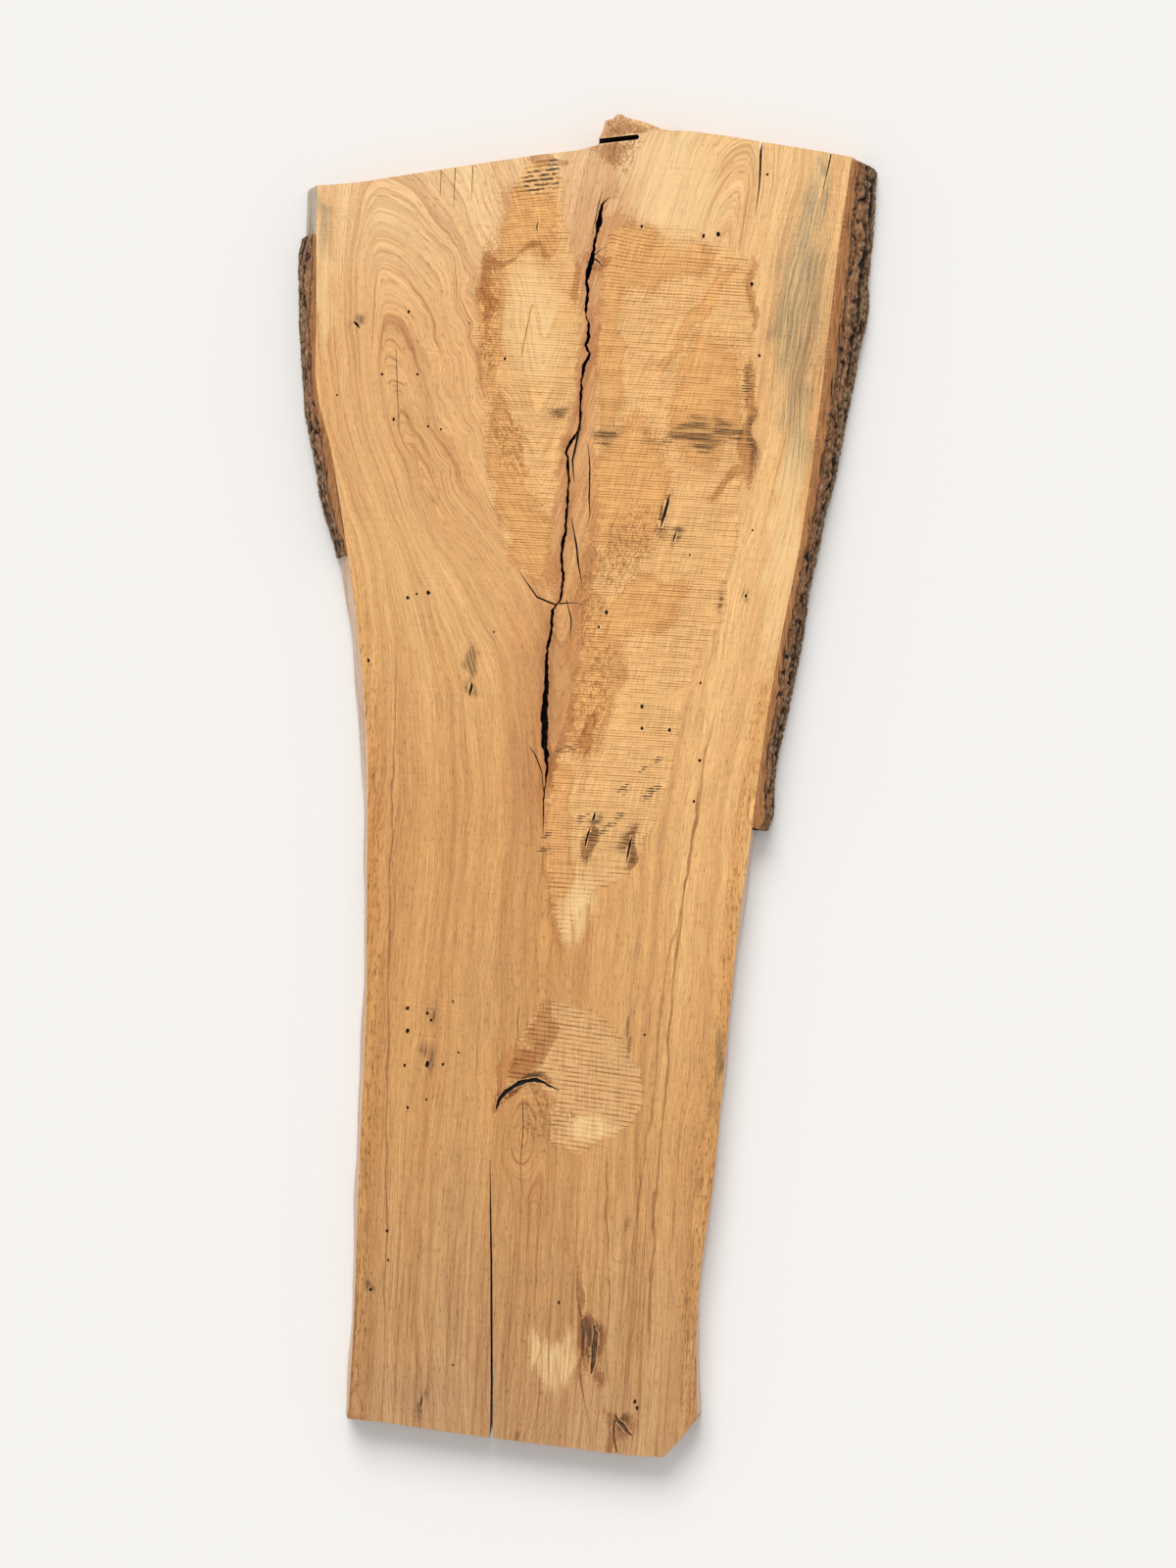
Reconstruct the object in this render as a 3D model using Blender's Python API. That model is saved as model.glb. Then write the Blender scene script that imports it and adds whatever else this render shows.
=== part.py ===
# Live-edge pecan slab, sawn through the fork of the tree, lying on its wider sawn face.
# +Z is up, +Y runs along the grain from the foot of the trunk to the fork, +X is to the right.
# All sizes are in metres. The outline is drawn with the centre of the foot near x = 0, y = 0,
# and the finished pieces are then moved so that the middle of their box stands on the origin.

import bmesh
import bpy
import numpy as np
from mathutils import Matrix, Vector

THICKNESS = 0.057
LEVELS_Z = (1.0, 0.72, 0.45, 0.2, 0.0)  # heights of the outline rings, as shares of the thickness
EDGE_STEP = 0.032  # spacing of the outline's points along the live edges
GAP = 0.0004  # between the wood and a bark strip
OVERSHOOT = 0.004  # how far a cutter stands out of the face that it cuts
SEED = 18

# The live edges where they meet the upper sawn face: (y along the slab, x across it).
LEFT_EDGE = (
    (-0.012, -0.292), (0.128, -0.291), (0.392, -0.297), (0.653, -0.301), (0.881, -0.312),
    (1.111, -0.326), (1.268, -0.347), (1.417, -0.375), (1.524, -0.398), (1.605, -0.417),
    (1.670, -0.438), (1.724, -0.448), (1.799, -0.451), (1.944, -0.459), (2.028, -0.462),
)
RIGHT_EDGE = (
    (0.022, 0.288), (0.155, 0.279), (0.263, 0.279), (0.412, 0.291), (0.599, 0.298),
    (0.822, 0.307), (1.009, 0.321), (1.207, 0.337), (1.354, 0.355), (1.478, 0.373),
    (1.645, 0.388), (1.839, 0.400), (1.998, 0.410), (2.133, 0.422),
)
# How much wider each side is at the lower face than at the upper one: (y, extra width).
LEFT_FLARE = (
    (-0.05, 0.008), (0.30, 0.010), (0.56, 0.012), (0.85, 0.009), (1.15, 0.017),
    (1.40, 0.018), (1.60, 0.016), (1.85, 0.020), (2.03, 0.024),
)
RIGHT_FLARE = (
    (-0.05, 0.008), (0.60, 0.007), (0.95, 0.011), (1.30, 0.017), (1.70, 0.020), (2.13, 0.024),
)
# The foot's saw cut from left to right, with the corner knocked off: (x, y).
FOOT_CUT = ((-0.237, -0.014), (-0.125, -0.024), (0.012, -0.034), (0.176, -0.045), (0.236, -0.045),
            (0.262, -0.014))
# The fork end from left to right: the left saw cut, the broken ridge, the right saw cut: (x, y).
LEFT_CUT = ((-0.448, 2.036), (-0.394, 2.044), (-0.237, 2.078), (-0.099, 2.107), (-0.036, 2.118),
            (0.003, 2.1295))
RIDGE = ((0.000, 2.142), (0.006, 2.154), (0.009, 2.170), (0.022, 2.174), (0.031, 2.183),
         (0.045, 2.176), (0.062, 2.168), (0.085, 2.161), (0.105, 2.157), (0.122, 2.161))
RIGHT_CUT = ((0.158, 2.161), (0.211, 2.157), (0.268, 2.151), (0.366, 2.141))
RIDGE_TEAR = 0.015  # how far the torn wood reaches past the upper face, lower down in the ridge
RIDGE_TEAR_X = (0.030, 0.130)

# The chainsaw kerf across the ridge: its mouth, its blind end and its width.
KERF_MOUTH = (-0.030, 2.1286)
KERF_END = (0.0665, 2.1455)
KERF_WIDTH = 0.0085

# Cracks in the upper face: (x, y, width) down the path, then how deep the split goes.
HEART_CRACK = (
    (0.021, 2.040, 0.0015), (0.011, 2.028, 0.0040), (0.008, 2.000, 0.0085), (0.003, 1.962, 0.0040),
    (0.007, 1.930, 0.0060), (-0.005, 1.913, 0.0065), (-0.003, 1.849, 0.0060),
    (0.006, 1.823, 0.0050), (-0.003, 1.785, 0.0060), (-0.006, 1.715, 0.0050),
    (-0.003, 1.669, 0.0045), (-0.012, 1.642, 0.0050), (-0.023, 1.616, 0.0045),
    (-0.016, 1.568, 0.0040), (-0.017, 1.490, 0.0050), (-0.021, 1.446, 0.0050),
    (-0.016, 1.400, 0.0040), (-0.019, 1.368, 0.0035), (-0.031, 1.350, 0.0045),
    (-0.032, 1.310, 0.0045), (-0.037, 1.275, 0.0055), (-0.034, 1.232, 0.0080),
    (-0.034, 1.172, 0.0115), (-0.031, 1.126, 0.0090), (-0.024, 1.093, 0.0040),
    (-0.028, 1.033, 0.0018), (-0.023, 0.985, 0.0008),
)
HEART_CRACK_DEPTH = 0.040
HEART_CRACK_STEP = 0.018
HEART_CRACK_JAG = 0.0016
SIDE_CRACK = ((-0.106, 1.393, 0.0012), (-0.082, 1.373, 0.0022), (-0.064, 1.356, 0.0032),
              (-0.046, 1.353, 0.0030), (-0.026, 1.354, 0.0030))
SIDE_CRACK_DEPTH = 0.014
UNDER_CRACK = ((0.004, 1.980, 0.0012), (-0.004, 1.880, 0.0035), (0.001, 1.760, 0.0045),
               (-0.014, 1.620, 0.0030), (-0.020, 1.470, 0.0036), (-0.034, 1.300, 0.0030),
               (-0.033, 1.160, 0.0012))
UNDER_CRACK_DEPTH = 0.010
# Drying checks that run in from the saw-cut ends, right through the thickness: (x, y, width).
FOOT_CHECK = ((-0.050, -0.060, 0.0036), (-0.056, 0.060, 0.0032), (-0.069, 0.266, 0.0026),
              (-0.076, 0.359, 0.0018), (-0.081, 0.430, 0.0006))
FORK_CHECK = ((0.269, 2.170, 0.0038), (0.271, 2.105, 0.0032), (0.271, 2.072, 0.0024),
              (0.267, 2.030, 0.0006))

# The bark seam that arches over the knot, and the dark pockets near the foot.
KNOT_SEAM = ((-0.066, 0.524, 0.0020), (-0.058, 0.540, 0.0060), (-0.046, 0.553, 0.0085),
             (-0.030, 0.562, 0.0080), (-0.012, 0.564, 0.0065), (0.006, 0.556, 0.0030),
             (0.022, 0.549, 0.0010))
KNOT_SEAM_DEPTH = 0.007
# Each pocket: centre x, y, half sizes across, along and down.
POCKETS = (
    (0.109, 0.120, 0.0085, 0.036, 0.007),
    (0.160, -0.018, 0.0060, 0.016, 0.006),
)

# Low places that the planer missed, still rough from the saw: outlines on the upper face, (x, y).
LOW_DEPTH = 0.0010
LOW_FORK_RIGHT = (
    (0.026, 1.935), (0.060, 1.995), (0.115, 1.995), (0.180, 1.965), (0.232, 1.930), (0.262, 1.945),
    (0.268, 1.880), (0.262, 1.700), (0.266, 1.600), (0.243, 1.560), (0.248, 1.420), (0.198, 1.360),
    (0.165, 1.240), (0.161, 1.110), (0.135, 1.030), (0.085, 0.960), (0.022, 0.890), (-0.004, 0.810),
    (-0.015, 0.830), (-0.020, 0.960), (-0.008, 1.060), (0.002, 1.140), (0.022, 1.290),
    (0.030, 1.420), (0.028, 1.600), (0.024, 1.760),
)
LOW_FORK_LEFT = (
    (-0.108, 2.098), (-0.068, 2.103), (-0.058, 2.040), (-0.030, 1.960), (-0.026, 1.800),
    (-0.024, 1.680), (-0.050, 1.560), (-0.066, 1.440), (-0.100, 1.440), (-0.120, 1.520),
    (-0.150, 1.640), (-0.155, 1.800), (-0.180, 1.880), (-0.172, 1.950), (-0.140, 1.960),
    (-0.132, 2.030),
)
LOW_KNOT = (
    (0.010, 0.700), (0.050, 0.676), (0.110, 0.626), (0.155, 0.580), (0.166, 0.530), (0.150, 0.470),
    (0.100, 0.444), (0.050, 0.438), (0.020, 0.446), (0.005, 0.500), (-0.004, 0.545),
    (-0.058, 0.556), (-0.050, 0.610), (-0.015, 0.665),
)

# Bark strips: (y, thickness at the upper face, extra rough bulge lower down).
LEFT_BARK_Y = (1.420, 1.952)
LEFT_BARK = ((1.415, 0.004, 0.001), (1.450, 0.006, 0.001), (1.520, 0.014, 0.002),
             (1.580, 0.015, 0.004), (1.640, 0.011, 0.003), (1.690, 0.008, 0.001),
             (1.760, 0.009, 0.001), (1.815, 0.012, 0.001), (1.860, 0.009, 0.004),
             (1.905, 0.006, 0.007), (1.955, 0.003, 0.001))
RIGHT_BARK_Y = (1.004, 2.1275)
RIGHT_BARK = ((1.000, 0.016, 0.001), (1.030, 0.021, 0.001), (1.080, 0.014, 0.003),
              (1.150, 0.011, 0.004), (1.230, 0.012, 0.009), (1.350, 0.013, 0.006),
              (1.440, 0.011, 0.002), (1.500, 0.013, 0.003), (1.610, 0.018, 0.006),
              (1.740, 0.021, 0.010), (1.870, 0.023, 0.019), (1.960, 0.021, 0.014),
              (2.060, 0.017, 0.013), (2.130, 0.013, 0.010))
BARK_STEP = 0.0105  # spacing of the strips' sections
BARK_RELIEF = 0.0035  # half depth of the furrows
FURROW_ACROSS = 0.017  # a ridge and its furrow, measured round the log
FURROW_ALONG = 0.085  # length of one plate of bark

WOOD_COLOUR = (0.72, 0.45, 0.20)
BARK_COLOUR = (0.16, 0.105, 0.06)


def spline(points, at):
    """The smooth curve through (position, value) points: cubic between them, with the slope at
    each point taken from its neighbours."""
    points = np.array(points)
    place, value = points[:, 0], points[:, 1]
    slope = np.gradient(value, place)
    at = np.clip(at, place[0], place[-1])
    left = np.clip(np.searchsorted(place, at) - 1, 0, len(place) - 2)
    span = place[left + 1] - place[left]
    t = (at - place[left]) / span
    return (
        value[left] * (1 + 2 * t) * (1 - t) ** 2
        + slope[left] * span * t * (1 - t) ** 2
        + value[left + 1] * t**2 * (3 - 2 * t)
        - slope[left + 1] * span * t**2 * (1 - t)
    )


def side_x(edge, flare, sign, y, share):
    """x of a live edge at y, at a share of the thickness: the side swells below the upper face as
    the round log did, and a few long waves keep it from being straight."""
    swell = np.sin(0.5 * np.pi * (1 - share))
    wave = 0.0012 * np.sin(y / 0.043 + share) + 0.0008 * np.sin(y / 0.023 + sign)
    return spline(edge, y) + sign * (spline(flare, y) * swell + wave * (1 - share))


def edge_rows(edge):
    """Where along the slab a live edge has its points."""
    return np.arange(edge[0][0], edge[-1][0] + EDGE_STEP / 2, EDGE_STEP)


def meshed_side_x(edge, flare, sign, y, shares):
    """x of the same side as the slab's own faces have it, straight between the points of its rings:
    one row for each y, one column for each share."""
    rows = edge_rows(edge)
    levels = sorted(LEVELS_Z)
    at_levels = [np.interp(y, rows, side_x(edge, flare, sign, rows, level)) for level in levels]
    return np.apply_along_axis(lambda x: np.interp(shares, levels, x), 0, at_levels).T


def wood_outline(share):
    """The slab's outline at a share of its thickness, anticlockwise from the foot's left corner."""
    foot = np.array(FOOT_CUT)
    left_y, right_y = edge_rows(LEFT_EDGE), edge_rows(RIGHT_EDGE)
    left = np.column_stack([side_x(LEFT_EDGE, LEFT_FLARE, -1, left_y, share), left_y])
    right = np.column_stack([side_x(RIGHT_EDGE, RIGHT_FLARE, 1, right_y, share), right_y])
    ridge = np.array(RIDGE)
    low, high = RIDGE_TEAR_X
    torn = np.clip((ridge[:, 0] - low) / (high - low), 0, 1)
    ridge[:, 1] += RIDGE_TEAR * np.sin(np.pi * torn) ** 0.7 * min(1.0, 2.2 * (1 - share))
    fork = np.vstack([np.array(LEFT_CUT), ridge, np.array(RIGHT_CUT)])
    return np.vstack([foot, right, fork[::-1], left[::-1]])


def add_object(name, mesh_maker, colour=None, roughness=0.7):
    """A named mesh object in the scene. One with no colour is a cutter, kept out of the render."""
    mesh = bpy.data.meshes.new(name)
    shape = bmesh.new()
    mesh_maker(shape)
    bmesh.ops.recalc_face_normals(shape, faces=shape.faces[:])
    shape.to_mesh(mesh)
    shape.free()
    thing = bpy.data.objects.new(name, mesh)
    bpy.context.scene.collection.objects.link(thing)
    if colour is None:
        thing.hide_render = True
        thing.display_type = "WIRE"
        return thing
    finish = bpy.data.materials.new(name + "_finish")
    finish.use_nodes = True
    shader = finish.node_tree.nodes["Principled BSDF"]
    shader.inputs["Base Color"].default_value = (*colour, 1.0)
    shader.inputs["Roughness"].default_value = roughness
    shader.inputs["Metallic"].default_value = 0.0
    mesh.materials.append(finish)
    return thing


def ring_of(shape, outline, z):
    """A closed ring of edges through the outline's points at one height."""
    corners = [shape.verts.new((x, y, z)) for x, y in outline]
    return [shape.edges.new((a, b)) for a, b in zip(corners, corners[1:] + corners[:1])]


def slab_body(shape):
    """Rings of the outline from the upper face to the lower one, bridged, with a cap on each end."""
    rings = [ring_of(shape, wood_outline(share), THICKNESS * share) for share in LEVELS_Z]
    for above, below in zip(rings, rings[1:]):
        bmesh.ops.bridge_loops(shape, edges=above + below)
    for ring in (rings[0], rings[-1]):
        bmesh.ops.contextual_create(shape, geom=ring)


def groove(path, depth, surface_z, direction, step=None, jag=0.0):
    """Makes a wedge along a crack: as wide as the path says a little outside the face, and narrowing
    to a line at its depth. With a step, the path is divided finely and its line jumps from side to
    side by the jag, as torn wood does."""
    path = np.array(path)
    run = np.concatenate([[0], np.cumsum(np.hypot(*np.diff(path[:, :2], axis=0).T))])
    if step:
        fine = np.linspace(0, run[-1], int(run[-1] / step) + 1)
        path = np.column_stack([np.interp(fine, run, path[:, k]) for k in range(3)])
        draw = np.random.default_rng(SEED)
        path[1:-1, 0] += draw.uniform(-jag, jag, len(path) - 2)
    along = np.gradient(path[:, :2], axis=0)
    across = np.column_stack([along[:, 1], -along[:, 0]]) / np.hypot(*along.T)[:, None]

    def make(shape):
        top_z = surface_z - direction * OVERSHOOT
        sections = []
        for (x, y, width), (ax, ay) in zip(path, across):
            half = 0.5 * width * (1 + OVERSHOOT / depth)
            tip = depth * (0.45 + 0.55 * min(1.0, width / 0.004))
            corners = [(x - ax * half, y - ay * half, top_z), (x + ax * half, y + ay * half, top_z),
                       (x, y, surface_z + direction * tip)]
            sections.append([shape.verts.new(c) for c in corners])
        for a, b in zip(sections, sections[1:]):
            for i, j in ((0, 1), (1, 2), (2, 0)):
                shape.faces.new((a[i], a[j], b[j], b[i]))
        shape.faces.new(sections[0])
        shape.faces.new(sections[-1])

    return make


def prism(outline, low, high):
    """Makes an upright prism between two heights."""

    def make(shape):
        floor = [shape.verts.new((x, y, low)) for x, y in outline]
        roof = [shape.verts.new((x, y, high)) for x, y in outline]
        shape.faces.new(floor)
        shape.faces.new(roof)
        for i in range(len(outline)):
            j = (i + 1) % len(outline)
            shape.faces.new((floor[i], floor[j], roof[j], roof[i]))

    return make


def through_split(path):
    """Makes a narrow upright wedge right through the slab, as wide as the path says."""
    path = np.array(path)
    half = np.column_stack([path[:, 2] / 2, np.zeros(len(path))])
    outline = np.vstack([path[:, :2] - half, (path[:, :2] + half)[::-1]])
    return prism(outline, -OVERSHOOT, THICKNESS + OVERSHOOT)


def kerf_slot():
    """Makes the saw's slot: a bar from its mouth, outside the wood, to its blind end."""
    mouth, end = Vector(KERF_MOUTH), Vector(KERF_END)
    side = (end - mouth).normalized().orthogonal() * (KERF_WIDTH / 2)
    outline = [mouth - side, end - side, end + side, mouth + side]
    return prism([tuple(p) for p in outline], -OVERSHOOT, THICKNESS + OVERSHOOT)


def pocket(x, y, across, along, down):
    """Makes a hollow's ellipsoid, centred on the upper face."""

    def make(shape):
        place = Matrix.Translation((x, y, THICKNESS)) @ Matrix.Diagonal((across, along, down, 1))
        bmesh.ops.create_icosphere(shape, subdivisions=2, radius=1.0, matrix=place)

    return make


def cut(thing, cutter):
    """Takes the cutter out of the thing with a Boolean that stays live."""
    modifier = thing.modifiers.new("cut_" + cutter.name, "BOOLEAN")
    modifier.operation = "DIFFERENCE"
    modifier.solver = "EXACT"
    modifier.object = cutter


def bark_relief(around, along, phase):
    """Height of the bark's ridges. Ridges and furrows run along the trunk, wander and meet, and each
    ridge is broken across into plates."""
    wander = 0.9 * np.sin(along / 0.061 + phase) + 0.6 * np.sin(along / 0.027 + 2 * phase)
    ridges = np.sin(2 * np.pi * around / FURROW_ACROSS + wander + phase)
    plates = np.sin(2 * np.pi * along / FURROW_ALONG + 4.0 * np.sin(around / 0.011 + phase))
    crumbs = np.sin(along / 0.0041 + 7 * around / FURROW_ACROSS) * np.sin(around / 0.0037 + phase)
    return BARK_RELIEF * (0.62 * np.tanh(1.8 * ridges) + 0.28 * plates + 0.25 * crumbs)


def bark_strip(edge, flare, sign, ends, sizes, end_cut):
    """Makes one strip of bark, closed all round: its flat sawn top and bottom, its inner side that
    follows the wood at a small gap, and its rough outer side. end_cut gives how far y moves per
    metre across at the far end, where the strip is sawn off with the wood."""
    count = int((ends[1] - ends[0]) / BARK_STEP) + 1
    y = np.linspace(*ends, count)
    sizes = np.array(sizes)
    thick = spline(sizes[:, :2], y)
    bulge = spline(sizes[:, [0, 2]], y)
    rings = np.array(LEVELS_Z)
    share = np.sort(np.append(rings, (rings[1:] + rings[:-1]) / 2))[::-1]
    yy, ss = np.meshgrid(y, share, indexing="ij")
    inner = meshed_side_x(edge, flare, sign, y, share) + sign * GAP
    depth_round = THICKNESS * (1 - ss)
    swell = np.sin(0.5 * np.pi * (1 - ss)) ** 0.6
    relief = bark_relief(depth_round, yy, 1.7 * sign) * (0.35 + 0.65 * (ss < 0.98))
    fade = np.minimum(1, thick / 0.012)[:, None]
    outer = inner + sign * np.maximum(
        0.0022, thick[:, None] + bulge[:, None] * swell + relief * fade
    )
    end_share = np.clip((y - (ends[1] - 0.05)) / 0.05, 0, 1)[:, None]

    def make(shape):
        def column(xs):
            slant = end_cut * (xs - inner[:, :1]) * end_share
            return [
                [shape.verts.new((x, a + b, THICKNESS * s)) for x, a, b, s in zip(*row)]
                for row in zip(xs, yy, slant, ss)
            ]

        wall_in, wall_out = column(inner), column(outer)
        loops = [a + b[::-1] for a, b in zip(wall_in, wall_out)]
        for a, b in zip(loops, loops[1:]):
            for i in range(len(a)):
                j = (i + 1) % len(a)
                shape.faces.new((a[i], a[j], b[j], b[i]))
        for ring_in, ring_out in ((wall_in[0], wall_out[0]), (wall_in[-1], wall_out[-1])):
            for i in range(len(ring_in) - 1):
                shape.faces.new((ring_in[i], ring_in[i + 1], ring_out[i + 1], ring_out[i]))

    return make


def centre_on_origin(things):
    """Moves the meshes, cutters too, so that the middle of the pieces' box is at x = y = 0."""
    bpy.context.view_layer.update()
    graph = bpy.context.evaluated_depsgraph_get()
    shown = [t.evaluated_get(graph) for t in things if not t.hide_render]
    corners = np.array([t.matrix_world @ Vector(c) for t in shown for c in t.bound_box])
    middle = (corners.min(axis=0) + corners.max(axis=0)) / 2
    for thing in things:
        thing.data.transform(Matrix.Translation((-middle[0], -middle[1], 0.0)))


def main():
    for old in list(bpy.data.objects):
        bpy.data.objects.remove(old)
    slab = add_object("slab", slab_body, WOOD_COLOUR, 0.65)
    low = THICKNESS - LOW_DEPTH
    cutters = [
        add_object("low_fork_right", prism(LOW_FORK_RIGHT, low, THICKNESS + OVERSHOOT)),
        add_object("low_fork_left", prism(LOW_FORK_LEFT, low, THICKNESS + OVERSHOOT)),
        add_object("low_knot", prism(LOW_KNOT, low, THICKNESS + OVERSHOOT)),
        add_object("kerf", kerf_slot()),
        add_object("foot_check", through_split(FOOT_CHECK)),
        add_object("fork_check", through_split(FORK_CHECK)),
        add_object("heart_crack", groove(HEART_CRACK, HEART_CRACK_DEPTH, THICKNESS, -1,
                                         HEART_CRACK_STEP, HEART_CRACK_JAG)),
        add_object("side_crack", groove(SIDE_CRACK, SIDE_CRACK_DEPTH, THICKNESS, -1)),
        add_object("under_crack", groove(UNDER_CRACK, UNDER_CRACK_DEPTH, 0.0, 1)),
        add_object("knot_seam", groove(KNOT_SEAM, KNOT_SEAM_DEPTH, THICKNESS, -1)),
    ]
    cutters += [add_object(f"pocket_{i}", pocket(*sizes)) for i, sizes in enumerate(POCKETS)]
    for cutter in cutters:
        cut(slab, cutter)
    right_slope = (RIGHT_EDGE[-1][0] - RIGHT_CUT[-1][1]) / (RIGHT_EDGE[-1][1] - RIGHT_CUT[-1][0])
    bark_left = add_object(
        "bark_left", bark_strip(LEFT_EDGE, LEFT_FLARE, -1, LEFT_BARK_Y, LEFT_BARK, 0.0),
        BARK_COLOUR, 0.95,
    )
    bark_right = add_object(
        "bark_right",
        bark_strip(RIGHT_EDGE, RIGHT_FLARE, 1, RIGHT_BARK_Y, RIGHT_BARK, right_slope),
        BARK_COLOUR, 0.95,
    )
    centre_on_origin([slab, bark_left, bark_right, *cutters])


main()
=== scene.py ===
# %% [markdown]
# A pecan slab, sawn along the grain through the fork of a tree. It lies on its wider sawn face and
# the camera looks straight down on it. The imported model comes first: it is the fixed frame that
# every surface below has to fit.

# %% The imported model
import math

import bpy
import numpy as np
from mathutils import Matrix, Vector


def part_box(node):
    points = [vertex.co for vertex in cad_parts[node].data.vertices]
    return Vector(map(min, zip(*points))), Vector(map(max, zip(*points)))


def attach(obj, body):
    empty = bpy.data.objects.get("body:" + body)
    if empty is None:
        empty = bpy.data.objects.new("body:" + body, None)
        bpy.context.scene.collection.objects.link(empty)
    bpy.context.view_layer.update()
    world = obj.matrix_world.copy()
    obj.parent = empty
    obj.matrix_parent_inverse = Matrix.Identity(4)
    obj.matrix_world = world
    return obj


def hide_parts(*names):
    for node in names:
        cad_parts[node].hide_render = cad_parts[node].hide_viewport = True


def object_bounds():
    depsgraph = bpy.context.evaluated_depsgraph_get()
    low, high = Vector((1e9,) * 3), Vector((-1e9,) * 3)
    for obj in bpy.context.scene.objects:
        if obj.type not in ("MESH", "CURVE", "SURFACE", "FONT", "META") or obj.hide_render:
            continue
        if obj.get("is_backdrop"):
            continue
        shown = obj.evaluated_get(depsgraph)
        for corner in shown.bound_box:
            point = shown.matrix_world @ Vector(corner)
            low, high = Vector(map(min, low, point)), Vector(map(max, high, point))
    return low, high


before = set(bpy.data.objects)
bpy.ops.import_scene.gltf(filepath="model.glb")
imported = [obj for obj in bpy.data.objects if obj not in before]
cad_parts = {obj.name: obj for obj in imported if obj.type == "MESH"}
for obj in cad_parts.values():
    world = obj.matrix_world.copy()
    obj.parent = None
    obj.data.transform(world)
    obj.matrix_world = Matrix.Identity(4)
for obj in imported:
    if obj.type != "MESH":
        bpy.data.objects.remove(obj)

cad_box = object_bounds()
slab_low, slab_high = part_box("slab")
THICK = slab_high[2]
print("slab box", [round(v, 4) for v in (*slab_low, *slab_high)])

# %% [markdown]
# All outlines are drawn in one plan: x across, y along the slab, both in metres from the middle of
# the foot. The photograph gives some marks as pixels, so one function turns a pixel into the plan.
# A pixel is 1.63 mm, which comes from the width of the chainsaw's slot, and the slab leans 3.37
# degrees in the picture.

# %% The plan and the photograph's pixels
FOOT = np.array((0.0105, -1.0698))  # the plan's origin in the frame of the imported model
PIXEL = 0.00163
LEAN = math.radians(3.37)
FOOT_PIXEL = (534, 1451)


def plan(pixels):
    """Plan points of photo pixels: the step from the foot, turned by the lean, times the scale."""
    step = (np.array(pixels, float) - FOOT_PIXEL) * (1, -1) * PIXEL
    return np.column_stack([
        step[..., 0] * math.cos(LEAN) - step[..., 1] * math.sin(LEAN),
        step[..., 0] * math.sin(LEAN) + step[..., 1] * math.cos(LEAN),
    ])


def smooth(value, start, end):
    """0 before start, 1 after end, and the S-curve 3t^2 - 2t^3 between them."""
    t = np.clip((value - start) / (end - start), 0, 1)
    return t * t * (3 - 2 * t)


def spline(points, at):
    """The cubic through (place, value) points, each with the slope between its neighbours."""
    place, value = np.array(points, float)[:, :2].T
    slope = np.gradient(value, place)
    at = np.clip(at, place[0], place[-1])
    left = np.clip(np.searchsorted(place, at) - 1, 0, len(place) - 2)
    span = place[left + 1] - place[left]
    t = (at - place[left]) / span
    return (
        value[left] * (1 + 2 * t) * (1 - t) ** 2
        + slope[left] * span * t * (1 - t) ** 2
        + value[left + 1] * t**2 * (3 - 2 * t)
        - slope[left + 1] * span * t**2 * (1 - t)
    )


print("the fork's right corner in the plan", plan([(890, 163)]).round(3))

# %% [markdown]
# The live edges are the same curves as in the solid model: smooth lines through a few stations, and
# a swell below the upper face that follows the round of the log.

# %% The live edges
LEFT_EDGE = (
    (-0.012, -0.292), (0.128, -0.291), (0.392, -0.297), (0.653, -0.301), (0.881, -0.312),
    (1.111, -0.326), (1.268, -0.347), (1.417, -0.375), (1.524, -0.398), (1.605, -0.417),
    (1.670, -0.438), (1.724, -0.448), (1.799, -0.451), (1.944, -0.459), (2.028, -0.462),
)
RIGHT_EDGE = (
    (0.022, 0.288), (0.155, 0.279), (0.263, 0.279), (0.412, 0.291), (0.599, 0.298),
    (0.822, 0.307), (1.009, 0.321), (1.207, 0.337), (1.354, 0.355), (1.478, 0.373),
    (1.645, 0.388), (1.839, 0.400), (1.998, 0.410), (2.133, 0.422),
)
LEFT_FLARE = (
    (-0.05, 0.008), (0.30, 0.010), (0.56, 0.012), (0.85, 0.009), (1.15, 0.017),
    (1.40, 0.018), (1.60, 0.016), (1.85, 0.020), (2.03, 0.024),
)
RIGHT_FLARE = (
    (-0.05, 0.008), (0.60, 0.007), (0.95, 0.011), (1.30, 0.017), (1.70, 0.020), (2.13, 0.024),
)


def side_x(edge, flare, sign, y, share):
    """x of a live edge at y, at a share of the thickness: the edge's spline, plus the flare times
    sin(90 degrees x (1 - share)), plus long waves that fade out towards the upper face."""
    swell = np.sin(0.5 * np.pi * (1 - share))
    wave = 0.0012 * np.sin(y / 0.043 + share) + 0.0008 * np.sin(y / 0.023 + sign)
    return spline(edge, y) + sign * (spline(flare, y) * swell + wave * (1 - share))


RIPPLE_SIZE = 1.6 / 1.4  # brings most of the relief between -1 and 1


def ripple(x, y, size, seed, waves=14):
    """Smooth random relief between about -1 and 1: the mean of sine waves that run in seeded random
    directions, with lengths near the given size."""
    draw = np.random.default_rng(seed)
    angle = draw.uniform(0, 2 * np.pi, waves)
    length = size * draw.uniform(0.6, 1.6, waves)
    phase = draw.uniform(0, 2 * np.pi, waves)
    total = np.zeros(np.broadcast(x, y).shape)
    for a, step, p in zip(angle, length, phase):
        total += np.sin(2 * np.pi * (x * np.cos(a) + y * np.sin(a)) / step + p)
    return total * RIPPLE_SIZE / waves**0.5


for name, end in (("foot", 0), ("fork", -1)):
    print("width at the", name, round(RIGHT_EDGE[end][1] - LEFT_EDGE[end][1], 3))

# %% [markdown]
# The ends were cut with a chainsaw. At the foot the cut is straight with one corner knocked off. At
# the fork two cuts meet at a ridge that broke away. The rows of the mesh run from one end to the
# other and take each end's shape near it, and between the ends they lie along the band saw's marks.

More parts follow.
